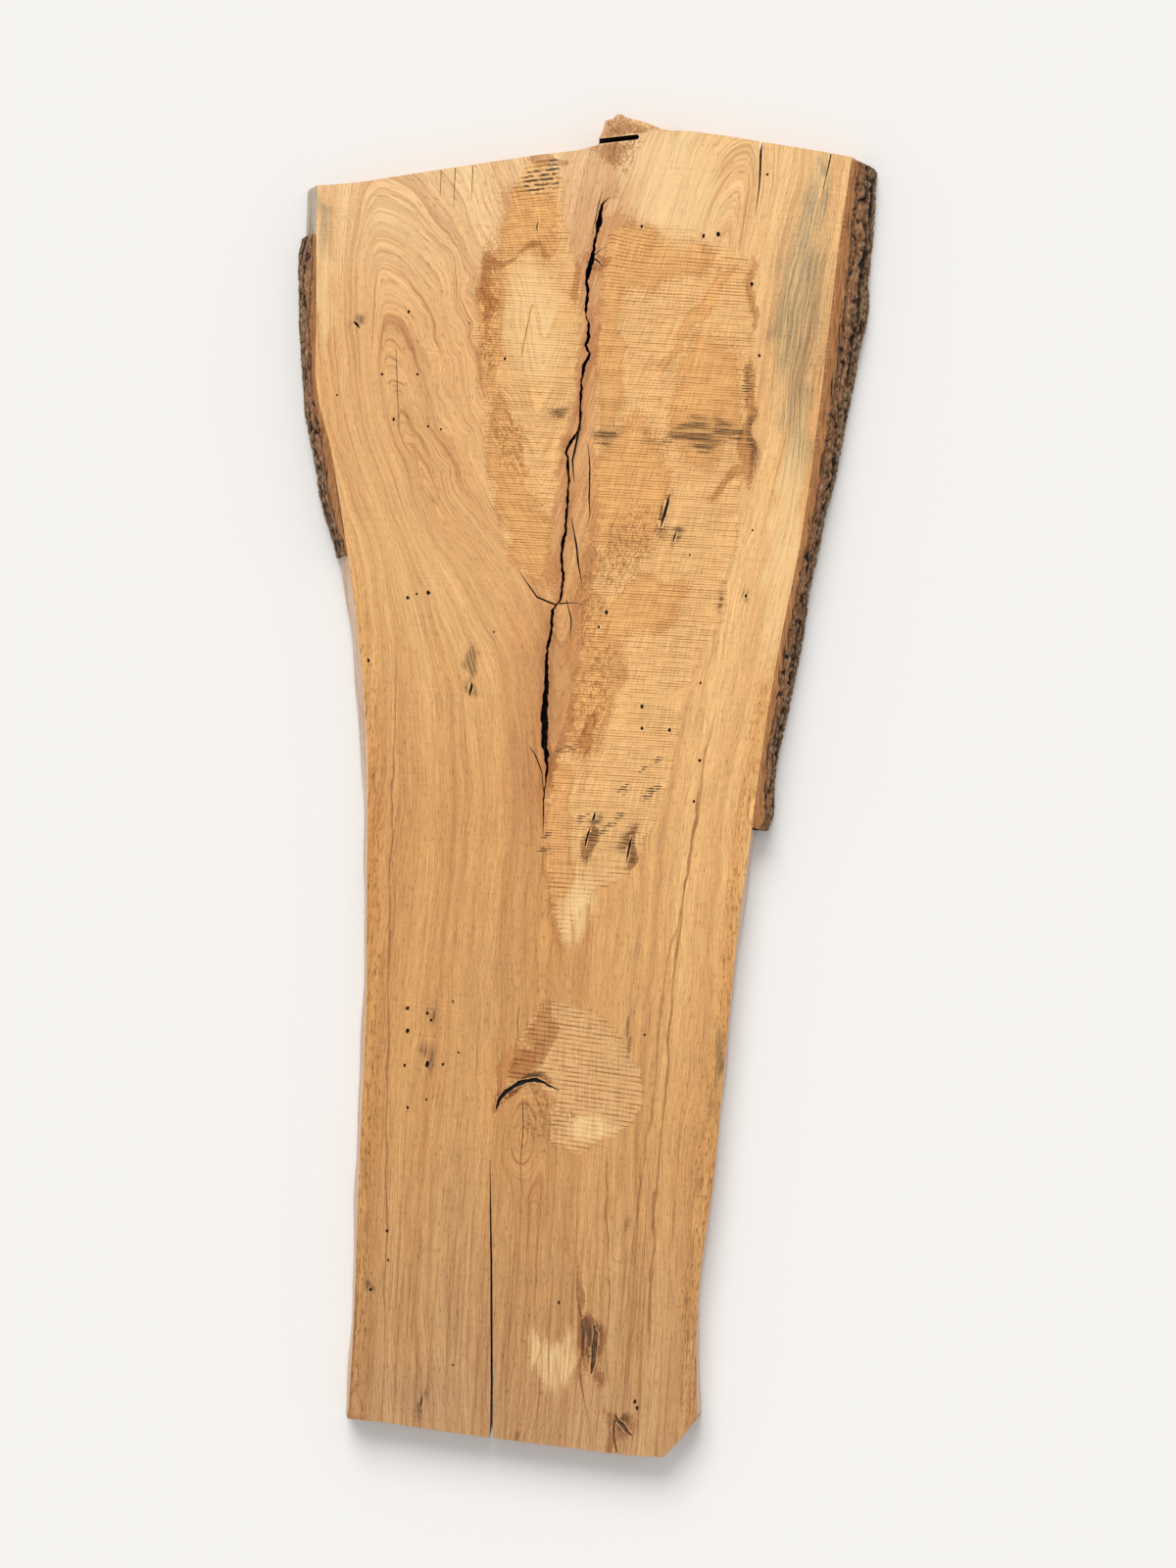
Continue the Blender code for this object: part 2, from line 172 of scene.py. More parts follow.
# %% The two ends and the rows between them
FOOT_LINE = (
    (-0.305, -0.011), (-0.237, -0.014), (-0.125, -0.024), (0.012, -0.034), (0.176, -0.045),
    (0.236, -0.045), (0.262, -0.014), (0.288, 0.022), (0.300, 0.022),
)
FORK_LINE = (
    (-0.490, 2.034), (-0.448, 2.036), (-0.394, 2.044), (-0.237, 2.078), (-0.099, 2.107),
    (-0.036, 2.118), (-0.0005, 2.1290), (0.0005, 2.142), (0.006, 2.154), (0.009, 2.170),
    (0.016, 2.1725), (0.022, 2.174), (0.027, 2.181), (0.031, 2.183), (0.038, 2.181),
    (0.045, 2.176), (0.062, 2.168), (0.074, 2.165), (0.085, 2.161), (0.105, 2.157),
    (0.122, 2.161), (0.158, 2.161), (0.211, 2.157), (0.268, 2.151), (0.366, 2.141),
    (0.422, 2.134), (0.450, 2.134),
)
SAW_SLOPE = -0.090  # low on the trunk the saw marks drop to the right by this much a metre
SLOPE_ROWS = (0.62, 1.02)  # where the marks turn from level to that slope
FOOT_ROW, FORK_ROW = -0.0335, 2.10
FOOT_REACH, FORK_REACH = 0.22, 1.84  # the rows as far as which the ends' shapes are felt
RIDGE_LEFT, RIDGE_WIDTH, RIDGE_TEAR = 0.030, 0.100, 0.015


def slab_xy(u, row, share):
    """Plan x and y of the point at u across (0 left edge, 1 right edge) on a row, at a share of the
    thickness. y is the row plus a height that blends from the foot's line through the saw's slope
    to the fork's line, and x runs evenly between the two live edges at that y."""
    at_foot = 1 - smooth(row, FOOT_ROW, FOOT_REACH)
    at_fork = smooth(row, FORK_REACH, FORK_ROW)
    slope = SAW_SLOPE * (1 - smooth(row, *SLOPE_ROWS))
    y = row + 0 * u
    for _ in range(4):
        left = side_x(LEFT_EDGE, LEFT_FLARE, -1, y, share)
        right = side_x(RIGHT_EDGE, RIGHT_FLARE, 1, y, share)
        x = left + (right - left) * u
        torn = np.sin(np.pi * np.clip((x - RIDGE_LEFT) / RIDGE_WIDTH, 0, 1)) ** 0.7
        fork = np.interp(x, *np.array(FORK_LINE).T)
        fork = fork + RIDGE_TEAR * torn * np.minimum(1, 2.2 * (1 - share))
        foot = np.interp(x, *np.array(FOOT_LINE).T)
        y = (
            row
            + (1 - at_foot - at_fork) * slope * x
            + at_foot * (foot - FOOT_ROW)
            + at_fork * (fork - FORK_ROW)
        )
    return x, y


long = max(y for _, y in FORK_LINE) - min(y for _, y in FOOT_LINE)
print("from the foot's lowest point to the ridge's top", round(long, 3))

# %% [markdown]
# The planer missed some low places, which are still rough from the band saw. A planed face is level,
# so there the height is the lower of the plane and the sawn surface: near the border only the
# valleys of the saw marks are left, as ragged stripes. Each place is an outline, and the signed
# distance from it, positive inside, gives the depth.

# %% The places that the planer missed
MISSED_PIXELS = {
    "left_of_crack": (
        (541, 166), (556, 160), (572, 184), (579, 238), (593, 290), (591, 345), (588, 398),
        (576, 446), (567, 500), (562, 560), (552, 594), (528, 578), (512, 540), (499, 498),
        (495, 440), (496, 404), (490, 366), (486, 340), (489, 300), (496, 264), (512, 250),
        (519, 204),
    ),
    "right_of_crack": (
        (617, 268), (619, 238), (648, 229), (700, 233), (742, 254), (764, 263), (768, 330),
        (771, 400), (769, 478), (756, 498), (751, 560), (744, 580), (738, 636), (716, 668),
        (701, 700), (690, 742), (687, 784), (669, 838), (641, 892), (611, 907), (590, 932),
        (573, 964), (564, 938), (556, 870), (560, 806), (571, 770), (583, 742), (588, 700),
        (598, 646), (604, 600), (610, 540), (607, 450), (611, 330),
    ),
    "by_the_knot": (
        (566, 1022), (600, 1031), (622, 1046), (641, 1066), (655, 1100), (656, 1126),
        (641, 1151), (618, 1164), (595, 1176), (566, 1170), (561, 1150), (566, 1122),
        (549, 1104), (514, 1118), (519, 1090), (532, 1052), (549, 1030),
    ),
}


def signed_distance(x, y, outline):
    """Distance from (x, y) to a closed outline, positive inside. The nearest point of each side is
    found by projection, and a point is inside when an odd number of sides pass to its right."""
    nearest = np.full(x.shape, np.inf)
    inside = np.zeros(x.shape, bool)
    for (ax, ay), (bx, by) in zip(outline, np.roll(outline, -1, axis=0)):
        dx, dy = bx - ax, by - ay
        t = np.clip(((x - ax) * dx + (y - ay) * dy) / (dx * dx + dy * dy), 0, 1)
        nearest = np.minimum(nearest, np.hypot(x - ax - t * dx, y - ay - t * dy))
        crosses = ((ay > y) != (by > y)) & (x < ax + (y - ay) * dx / (dy if dy else 1e-12))
        inside ^= crosses
    return np.where(inside, nearest, -nearest)


def missed_depth(x, y):
    """Signed distance to the nearest missed place, with a ragged border of a few millimetres."""
    best = np.full(x.shape, -np.inf)
    for outline in MISSED_PIXELS.values():
        best = np.maximum(best, signed_distance(x, y, plan(outline)))
    return best + 0.0030 * ripple(x * 0.6, y, 0.030, 31) + 0.0016 * ripple(x * 0.3, y, 0.010, 32)


print(len(MISSED_PIXELS), "places that the planer missed")

# %% [markdown]
# The wood is one closed surface: a fine grid for the upper face, a band round the sides and one flat
# polygon below. Where the saw's marks show, the rows are half a mark apart, so that they alternate
# between ridge and valley.

# %% The slab's grid
SAW_PITCH = 0.0044
COARSE_PITCH = 0.0076
SAW_HEIGHT = 0.00030
MISSED_SINK = 0.0011
COLUMNS = 96
LEAST_COLUMN = 0.003  # as a share of the width
FORK_LEFT, FORK_RIGHT = -0.462, 0.422
SIDE_SHARES = (1.0, 0.975, 0.86, 0.68, 0.50, 0.32, 0.15, 0.0)
UNDER_INSET = 0.003


def row_places():
    """Rows half a saw mark apart in the rough parts, and coarser between them."""
    fine, coarse = SAW_PITCH / 2, COARSE_PITCH / 2
    parts = [
        np.linspace(FOOT_ROW, 0.430, 64, endpoint=False),
        np.arange(0.430, 0.700, coarse),
        np.linspace(0.700, 0.770, 10, endpoint=False),
        np.arange(0.770, 0.930, coarse),
        np.arange(0.930, 2.030, fine),
        np.arange(2.030, FORK_ROW, coarse),
    ]
    return np.concatenate(parts)


def column_places():
    """Columns, closer together where the rough places lie, and a few more where the broken ridge
    steps up at the fork."""
    even = np.interp(np.linspace(0, 1, COLUMNS), (0, 0.15, 0.88, 1), (0, 0.24, 0.90, 1))
    step_x = np.array((-0.0005, 0.0005, 0.006, 0.009, 0.016, 0.022, 0.027, 0.031, 0.038))
    step = (step_x - FORK_LEFT) / (FORK_RIGHT - FORK_LEFT)
    even = even[np.abs(even[:, None] - step).min(axis=1) > LEAST_COLUMN]
    return np.sort(np.concatenate([even, step]))


def upper_face(x, y, rows):
    """Height of the upper face: the lower of the planed level and the sawn surface, which sinks by
    MISSED_SINK inside a missed place and carries the saw's zigzag."""
    low = missed_depth(x, y)
    parity = np.where(np.arange(len(rows)) % 2, 1.0, -1.0)[:, None]
    strength = 0.65 + 0.35 * ripple(x, y, 0.16, 41)
    uneven = 0.0001 * np.random.default_rng(7).normal(size=(len(rows), 1))
    sawn = SAW_HEIGHT - MISSED_SINK * smooth(low, -0.002, 0.022)
    sawn = sawn + (SAW_HEIGHT * parity + uneven) * strength
    return THICK + np.minimum(0, sawn), low


rows = row_places()
columns = column_places()
face_x, face_y = slab_xy(columns[None, :], rows[:, None], 1.0)
face_z, face_low = upper_face(face_x, face_y, rows)
print(len(rows), "rows and", len(columns), "columns, lowest place", round(face_z.min(), 4))

# %% [markdown]
# The stains make this slab itself, so they are placed one by one: golden and brown where water
# stood, grey high on the right, dark smudges round torn places, pale and dull patches, and dashes
# where the saw tore its valleys. Two kinds only say where the grain is curly and where it is torn.
# Each is a soft oval, given in photo pixels: its centre, half its width and height, and its turn
# clockwise in degrees. The mesh's points carry how strong each kind is, and the finish below breaks
# up the borders.

# %% The stains: x, y, half width, half height, turn
STAINS = {
    "golden": (
        (540, 228, 27, 32, 0), (500, 330, 11, 74, 2), (517, 470, 15, 66, -8),
        (541, 548, 20, 44, -18), (642, 262, 34, 34, 0), (692, 262, 34, 18, 10),
        (622, 350, 12, 92, 0), (640, 500, 36, 60, 8), (607, 706, 20, 62, 14),
        (596, 620, 12, 60, 6), (570, 868, 12, 84, 0), (720, 410, 30, 60, 10),
        (524, 1092, 14, 24, 24), (655, 620, 44, 22, -24), (712, 318, 7, 62, 34),
    ),
    "brown": (
        (553, 1056, 13, 34, 14), (545, 1076, 12, 20, 20), (536, 1086, 14, 16, 30),
        (534, 1108, 28, 7, -8), (511, 1120, 6, 12, 24), (766, 432, 5, 62, -1), (762, 470, 7, 30, -8),
        (744, 490, 22, 5, -38), (767, 312, 4, 44, 2), (497, 300, 5, 40, 0),
        (512, 263, 17, 4, -2), (541, 258, 14, 4, -12), (607, 1375, 9, 34, 0),
        (593, 1350, 3, 62, -2), (634, 1456, 15, 12, 30), (624, 1462, 5, 26, 0),
        (620, 150, 20, 12, -20), (655, 126, 30, 8, -14), (612, 264, 10, 8, 0),
        (560, 164, 22, 5, -8), (602, 742, 6, 26, 16),
        (590, 290, 5, 26, 4), (680, 520, 5, 21, 12), (643, 868, 5, 24, 10), (600, 857, 5, 18, 9),
    ),
    "grey": (
        (816, 312, 24, 92, 4), (822, 236, 11, 50, 8), (815, 410, 14, 84, 2), (800, 330, 10, 60, 2),
        (732, 1090, 6, 34, 3), (840, 200, 6, 40, 4), (332, 230, 5, 34, 0),
    ),
    "smudge": (
        (712, 446, 42, 9, -3), (692, 440, 16, 12, 0), (735, 438, 7, 15, 6),
        (750, 446, 12, 9, -20), (622, 438, 14, 8, -8), (574, 416, 10, 9, 10),
        (600, 857, 5, 17, 9), (642, 864, 6, 24, 11), (680, 522, 6, 22, 9), (688, 549, 5, 9, 0),
        (480, 702, 9, 9, 0), (481, 676, 2.6, 22, 0), (436, 1086, 5, 16, 0), (440, 1036, 4, 10, 0),
        (536, 1106, 26, 6, -8), (768, 455, 4, 34, 0), (607, 836, 7, 7, 0), (641, 1250, 3, 9, 10),
        (364, 331, 7, 4, 48), (430, 1432, 4, 16, -4), (635, 1452, 8, 8, 30), (378, 1316, 4, 9, 0),
        (734, 610, 2.6, 20, 8), (761, 606, 3.6, 8, 0), (603, 1376, 8, 27, 0), (642, 1052, 1.5, 30, 0),
    ),
    "pale": (
        (544, 1382, 4, 21, 0), (555, 1388, 5, 26, 0), (567, 1385, 7, 26, 0), (580, 1384, 7, 24, 0),
        (600, 1150, 22, 12, 18), (590, 925, 16, 32, 14), (690, 190, 40, 60, -24),
        (330, 300, 8, 70, 0), (800, 560, 14, 120, 6), (545, 330, 26, 56, -4),
    ),
    "dull": (
        (531, 822, 13, 84, 0), (470, 1280, 22, 190, 1), (500, 1010, 26, 70, 0),
        (560, 700, 12, 60, 0), (440, 1420, 60, 24, 4),
    ),
    "curly": (
        (415, 360, 105, 150, 8), (756, 210, 40, 70, 6), (535, 1155, 25, 46, 0),
    ),
    "torn": (
        (607, 706, 18, 56, 14), (518, 446, 14, 44, -14), (600, 612, 10, 50, 6),
        (548, 1142, 13, 26, 6), (580, 1140, 12, 7, 10), (640, 560, 22, 40, 10),
        (500, 330, 8, 60, 2), (607, 1375, 7, 26, 0),
        (650, 126, 34, 9, -12), (640, 150, 16, 16, 0),
    ),
    "dash": (
        (664, 808, 13, 4.6, -37), (672, 775, 5, 3.6, -40), (655, 785, 7, 2.6, -30),
        (637, 806, 9, 4.4, -40), (618, 845, 13, 4.0, -32), (595, 835, 8, 4.6, -25),
        (632, 832, 6, 3.4, -35), (580, 764, 13, 3.0, -14), (557, 852, 8, 3.0, -18),
        (556, 866, 9, 3.2, -20), (548, 184, 14, 12, -35), (564, 170, 7, 9, 0),
        (763, 392, 5, 22, 0), (562, 184, 8, 10, 0),
    ),
}


JOSTLE = 3.0  # pixels; the dashes alone stay where they are


def pixels_of(x, y):
    """Photo pixels of plan points: the plan's turn and scale the other way round."""
    across = x * math.cos(LEAN) + y * math.sin(LEAN)
    along = y * math.cos(LEAN) - x * math.sin(LEAN)
    return FOOT_PIXEL[0] + across / PIXEL, FOOT_PIXEL[1] - along / PIXEL


def stain(x, y, ovals, jostle):
    """How strong one kind of stain is, from 0 to 1: 1.5 less the distance from the nearest oval's
    centre, counted in its half sizes. Waves shift the place first, so no border is a true oval."""
    px, py = pixels_of(x, y)
    px = px + jostle * ripple(x, y * 0.6, 0.045, 91)
    py = py + 2 * jostle * ripple(x, y * 0.5, 0.060, 92)
    strongest = np.zeros(x.shape)
    for cx, cy, half_width, half_height, turn in ovals:
        cos, sin = math.cos(math.radians(turn)), math.sin(math.radians(turn))
        a = ((px - cx) * cos + (py - cy) * sin) / half_width
        b = ((py - cy) * cos - (px - cx) * sin) / half_height
        strongest = np.maximum(strongest, np.clip(1.5 - np.hypot(a, b), 0, 1))
    return strongest


face_stains = {kind: stain(face_x, face_y, ovals, 0.0 if kind == "dash" else JOSTLE)
               for kind, ovals in STAINS.items()}
print({kind: round(float(field.mean()), 4) for kind, field in face_stains.items()})

# %% [markdown]
# A cut can only be taken out of a closed surface. So the face's border is carried down the sides in
# rings, each a little wider as the log swells. The last ring is closed by one polygon, because the
# underside is flat.

# %% The closed surface of the slab


def add_mesh(name, points, faces, attributes=None, flat_faces=0):
    """A mesh object from plan points, moved to the model's frame. The first faces can stay flat, so
    that the zigzag of the saw marks keeps its edges, and the rest are smooth."""
    mesh = bpy.data.meshes.new(name)
    placed = np.array(points, float)
    placed[:, :2] += FOOT
    mesh.from_pydata(placed, [], faces)
    is_smooth = np.ones(len(faces), bool)
    is_smooth[:flat_faces] = False
    mesh.polygons.foreach_set("use_smooth", is_smooth)
    for key, values in (attributes or {}).items():
        layer = mesh.attributes.new(key, "FLOAT", "POINT")
        layer.data.foreach_set("value", np.asarray(values, np.float32).ravel())
    mesh.update()
    thing = bpy.data.objects.new(name, mesh)
    bpy.context.scene.collection.objects.link(thing)
    return thing


def grid_faces(index):
    """Quads of a grid of point numbers, turned so that columns x rows gives the outward side."""
    a, b, c, d = index[:-1, :-1], index[:-1, 1:], index[1:, 1:], index[1:, :-1]
    return np.stack([a, b, c, d], axis=-1).reshape(-1, 4)


def slab_surface():
    """The upper face's grid, then rings of its border at lower and lower shares of the thickness,
    each worked out from the same (u, row) pairs, then a ring just inside the last one, which holds
    the underside's one polygon."""
    count_r, count_c = face_x.shape
    index = np.arange(count_r * count_c).reshape(count_r, count_c)
    border = np.concatenate([index[0], index[1:, -1], index[-1, -2::-1], index[-2:0:-1, 0]])
    row_of, column_of = np.unravel_index(border, index.shape)
    ring_u, ring_row = columns[column_of], rows[row_of]
    points = [np.column_stack([face_x.ravel(), face_y.ravel(), face_z.ravel()])]
    rings = [border]
    for share in SIDE_SHARES[1:]:
        x, y = slab_xy(ring_u, ring_row, share)
        rough = 0.0006 * ripple(y, share * THICK + 0 * y, 0.02, 61) * (share < 0.9) * (share > 0)
        x = x - np.where(ring_u < 0.5, -1, 1) * np.abs(rough) * ((ring_u == 0) | (ring_u == 1))
        start = sum(map(len, points))
        points.append(np.column_stack([x, y, np.full(len(x), THICK * share)]))
        rings.append(start + np.arange(len(x)))
    inner_row = np.clip(ring_row, rows[0] + UNDER_INSET, rows[-1] - UNDER_INSET)
    x, y = slab_xy(np.clip(ring_u, UNDER_INSET, 1 - UNDER_INSET), inner_row, 0.0)
    rings.append(sum(map(len, points)) + np.arange(len(x)))
    points.append(np.column_stack([x, y, 0 * x]))
    bands = [np.column_stack([low, np.roll(low, -1), np.roll(high, -1), high]).tolist()
             for high, low in zip(rings, rings[1:])]
    flat = grid_faces(index).tolist() + [rings[-1][::-1].tolist()] + bands.pop()
    faces = sum(bands, flat)
    everywhere = np.vstack(points)
    below = len(everywhere) - face_x.size
    left = side_x(LEFT_EDGE, LEFT_FLARE, -1, face_y, 1.0)
    right = side_x(RIGHT_EDGE, RIGHT_FLARE, 1, face_y, 1.0)
    parity = np.where(np.arange(count_r) % 2, 1.0, -1.0)[:, None]
    fields = {kind: np.concatenate([field.ravel(), np.zeros(below)])
              for kind, field in face_stains.items()}
    at_end = np.isin(ring_row, (rows[0], rows[-1])).astype(float)
    fields |= {
        "cut": np.zeros(len(everywhere)),
        "end": np.concatenate([np.zeros(face_x.size), np.tile(at_end, len(SIDE_SHARES) - 1),
                               0 * at_end]),
        "under": np.repeat((0.0, 1.0), (len(everywhere) - len(at_end), len(at_end))),
        "ridge": np.concatenate([np.broadcast_to(parity, face_x.shape).ravel(), np.ones(below)]),
        "low": np.concatenate([face_low.ravel(), np.full(below, -0.05)]),
        "edge": np.concatenate(
            [np.minimum(face_x - left, right - face_x).ravel(), np.zeros(below)]
        ),
    }
    return everywhere, faces, fields, len(flat)


points, faces, fields, flat = slab_surface()
slab = add_mesh("pecan_wood", points, faces, fields, flat)
print(slab.name, len(points), "points,", len(faces), "faces")

# %% [markdown]
# Cracks are cut with wedges. Each wedge is a section carried along a path: wide just above the wood,
# narrow at its depth, and jumping from side to side by fine steps as torn fibres do. The same wedge
# in the underside shows where the heart crack nearly comes through.

# %% The cracks' paths: x, y and width
HEART_CRACK = (
    (0.023, 2.042, 0.0012), (0.012, 2.029, 0.0042), (0.010, 2.014, 0.0060), (0.010, 1.999, 0.0094),
    (0.006, 1.984, 0.0046), (0.003, 1.963, 0.0042), (-0.000, 1.941, 0.0072), (-0.003, 1.922, 0.0094),
    (-0.006, 1.900, 0.0050), (-0.003, 1.884, 0.0052), (-0.004, 1.858, 0.0046), (-0.003, 1.840, 0.0020),
    (0.002, 1.832, 0.0030), (0.003, 1.811, 0.0062), (-0.002, 1.794, 0.0052), (0.005, 1.782, 0.0034),
    (-0.001, 1.762, 0.0058), (-0.005, 1.739, 0.0040), (-0.005, 1.706, 0.0038), (-0.005, 1.680, 0.0042),
    (-0.003, 1.654, 0.0032), (-0.012, 1.642, 0.0048), (-0.023, 1.616, 0.0042), (-0.016, 1.568, 0.0036),
    (-0.017, 1.490, 0.0046), (-0.021, 1.446, 0.0046), (-0.016, 1.400, 0.0038), (-0.019, 1.368, 0.0032),
    (-0.031, 1.350, 0.0042), (-0.032, 1.310, 0.0044), (-0.037, 1.275, 0.0040), (-0.034, 1.232, 0.0066),
    (-0.034, 1.172, 0.0120), (-0.031, 1.126, 0.0094), (-0.024, 1.093, 0.0040), (-0.028, 1.033, 0.0020),
    (-0.023, 0.975, 0.0008),
)
UNDER_CRACK = (
    (0.004, 1.980, 0.0012), (-0.004, 1.880, 0.0035), (0.001, 1.760, 0.0045),
    (-0.014, 1.620, 0.0030), (-0.020, 1.470, 0.0036), (-0.034, 1.300, 0.0030),
    (-0.033, 1.160, 0.0012),
)
FOOT_CHECK = (
    (-0.050, -0.060, 0.0044), (-0.056, 0.060, 0.0042), (-0.069, 0.266, 0.0034),
    (-0.076, 0.359, 0.0022), (-0.081, 0.432, 0.0007),
)
FORK_CHECK = (
    (0.269, 2.170, 0.0040), (0.271, 2.105, 0.0034), (0.271, 2.072, 0.0024), (0.267, 2.026, 0.0007),
)
BRANCH_PIXELS = {
    "beside_upper": (
        (594, 420, 1.2), (591, 436, 3.4), (588, 452, 3.0), (584, 470, 2.6), (586, 492, 0.8),
    ),
    "beside_long": ((600, 453, 0.7), (602, 476, 1.8), (601, 506, 2.2), (602, 530, 0.6)),
    "beside_lower": ((583, 528, 0.8), (588, 556, 2.4), (590, 574, 2.6), (594, 596, 0.7)),
    "below_turn": ((578, 612, 1.0), (583, 632, 1.8), (582, 655, 0.5)),
    "side": ((530, 583, 0.7), (538, 595, 1.5), (548, 609, 2.0), (557, 613, 2.4), (567, 617, 2.4)),
    "side_right": ((570, 616, 2.0), (586, 615, 1.2), (596, 617, 0.6)),
    "end_left": ((541, 762, 0.8), (547, 772, 1.6), (553, 788, 1.4), (555, 812, 0.9), (555, 848, 0.5)),
    "star": ((602, 262, 2.6), (610, 266, 2.2), (616, 273, 0.8)),
    "star_up": ((603, 264, 2.0), (610, 257, 1.4), (617, 252, 0.6)),
    "knot_line": ((533, 1120, 0.8), (534, 1150, 1.1), (531, 1186, 0.8), (532, 1216, 0.4)),
    "high_left": ((614, 196, 0.6), (611, 208, 1.2), (607, 226, 1.0), (604, 240, 0.5)),
    "over_knot": ((529, 1062, 0.5), (528, 1044, 0.9), (530, 1026, 0.4)),
    "left_face": ((404, 355, 0.5), (405, 385, 0.9), (407, 438, 0.5)),
    "left_patch": ((543, 310, 0.5), (537, 338, 0.9), (532, 365, 0.5)),
    "end_check_a": ((450, 166, 1.0), (450, 182, 0.9), (449, 200, 0.5)),
    "end_check_b": ((465, 164, 1.2), (464, 186, 0.9), (463, 212, 0.5)),
    "end_check_c": ((483, 160, 1.0), (482, 184, 0.9), (481, 205, 0.5)),
    "end_check_d": ((849, 152, 2.0), (845, 172, 1.6), (838, 202, 0.6)),
}
SLIT_PIXELS = {
    "right": ((684, 503, 1.2), (681, 514, 4.0), (678, 525, 4.6), (674, 538, 1.4)),
    "right_small": ((690, 542, 1.0), (688, 548, 3.0), (687, 553, 1.0)),
    "lower_right": ((645, 852, 0.8), (643, 861, 3.6), (641, 870, 3.0), (639, 880, 0.6)),
    "lower_left": ((602, 845, 1.0), (600, 851, 3.0), (598, 858, 3.2), (597, 865, 0.8)),
    "left_knot": ((481, 696, 1.0), (481, 700, 3.6), (480, 705, 3.4), (479, 710, 1.0)),
    "upper_left": ((361, 328, 1.6), (364, 331, 4.0), (367, 335, 1.6)),
    "high": ((549, 226, 1.0), (548, 231, 2.2), (548, 236, 1.0)),
    "foot": ((431, 1424, 0.8), (430, 1430, 2.0), (429, 1437, 0.8)),
    "tail": ((607, 829, 1.4), (606, 834, 4.0), (604, 838, 1.4)),
}
PIN_PIXELS = (
    (416, 610, 1.8), (425, 606, 1.2), (437, 605, 2.2), (390, 382, 1.4), (426, 382, 1.3),
    (417, 318, 1.5), (344, 403, 1.2), (437, 435, 1.2), (450, 438, 1.4), (416, 1029, 1.8),
    (416, 1052, 2.0), (436, 1034, 1.8), (440, 1041, 1.6), (462, 1022, 1.1), (436, 1086, 2.6),
    (452, 1086, 1.4), (468, 1074, 1.2), (413, 1087, 1.4), (435, 1122, 1.3), (416, 1130, 1.3),
    (395, 1256, 1.5), (396, 1286, 1.3), (378, 1316, 1.8), (570, 1329, 1.4), (462, 1393, 1.0),
    (648, 1430, 2.0), (650, 1437, 1.6), (658, 1056, 1.1), (655, 231, 1.6), (718, 241, 1.8),
    (775, 363, 1.6), (767, 290, 2.2), (761, 608, 1.8), (768, 541, 1.2), (704, 566, 1.2),
    (783, 178, 1.3), (655, 721, 1.8), (655, 743, 1.6), (683, 745, 1.8), (715, 697, 1.2),
    (714, 776, 1.6), (708, 818, 1.4), (619, 625, 2.0), (611, 640, 1.4), (504, 645, 1.0),
    (376, 674, 1.6), (402, 428, 1.6), (479, 330, 1.0), (515, 366, 1.6), (733, 239, 2.4),
)
KNOT_SEAM_PIXELS = (
    (506, 1132, 2.0), (509, 1123, 4.0), (516, 1114, 6.5), (524, 1109, 5.0), (530, 1105, 7.5),
    (538, 1103, 5.0), (546, 1102, 6.0), (554, 1104, 3.6), (563, 1109, 2.4), (571, 1113, 0.8),
)
POCKET_PIXELS = {
    "upper": ((606, 1352, 1.5), (608, 1361, 5.5), (607, 1372, 8.0), (606, 1384, 7.0),
              (605, 1394, 5.0), (603, 1402, 1.5)),
    "lower": ((628, 1443, 1.5), (630, 1450, 5.0), (636, 1455, 6.0), (641, 1462, 3.5),
              (646, 1466, 0.8)),
    "lower_slit": ((629, 1446, 2.0), (626, 1458, 2.6), (627, 1470, 2.4), (629, 1482, 2.0)),
}


def with_width(pixels):
    """Plan x, y and width in metres of (pixel x, pixel y, pixel width) points."""
    pixels = np.array(pixels, float)
    return np.column_stack([plan(pixels[:, :2]), pixels[:, 2] * PIXEL])


fine_cracks = len(BRANCH_PIXELS) + len(SLIT_PIXELS)
print(len(PIN_PIXELS), "pin knots and", fine_cracks, "fine cracks and slits")

# %% [markdown]
# Boolean modifiers take the cutters out of the slab, because a real hole has a shadow that a painted
# line lacks. Pin knots are small pits, and the chainsaw's slot and the end checks go right through.

# %% Cutting the cracks
STAND_OUT = 0.004
FULL_WIDTH = 0.004  # a crack this wide reaches its full depth and strays by its full jag
SECTION = ((-1, 1.06, -STAND_OUT), (-1, 0.62, 0.45), (0, 0, 1), (1, 0.62, 0.45), (1, 1.06, -STAND_OUT))
JUMP_EVERY = 5  # sections between two sideways jumps of a crack
JUMP_SHARE = 0.45
WALL_STEP = 0.002
WALL_DEPTH = 0.0025
KERF_WIDTH = 0.0085
PIN_SIDES = 7
PIN_LENGTH = 1.35  # a pit's length along the trunk for a width of 1
PIN_DEPTH = 0.0016
# Inside a cut the wood is painted with shade: a crack gets all of it and turns black, and a bark pocket
# gets this share, so it stays brown.
POCKET_SHADE = 0.24  # the two bark pockets stay brown inside, and the cracks turn black


def run_of(path):
    """How far along the path each of its points lies."""
    return np.concatenate([[0], np.cumsum(np.hypot(*np.diff(path[:, :2], axis=0).T))])


def tube(points):
    """Faces of a closed tube: rows of points that each go once round it, and a polygon at each end."""
    index = np.arange(points.shape[0] * points.shape[1]).reshape(points.shape[:2])
    around = np.concatenate([index, index[:, :1]], axis=1)
    return grid_faces(around).tolist() + [index[0][::-1].tolist(), index[-1].tolist()]


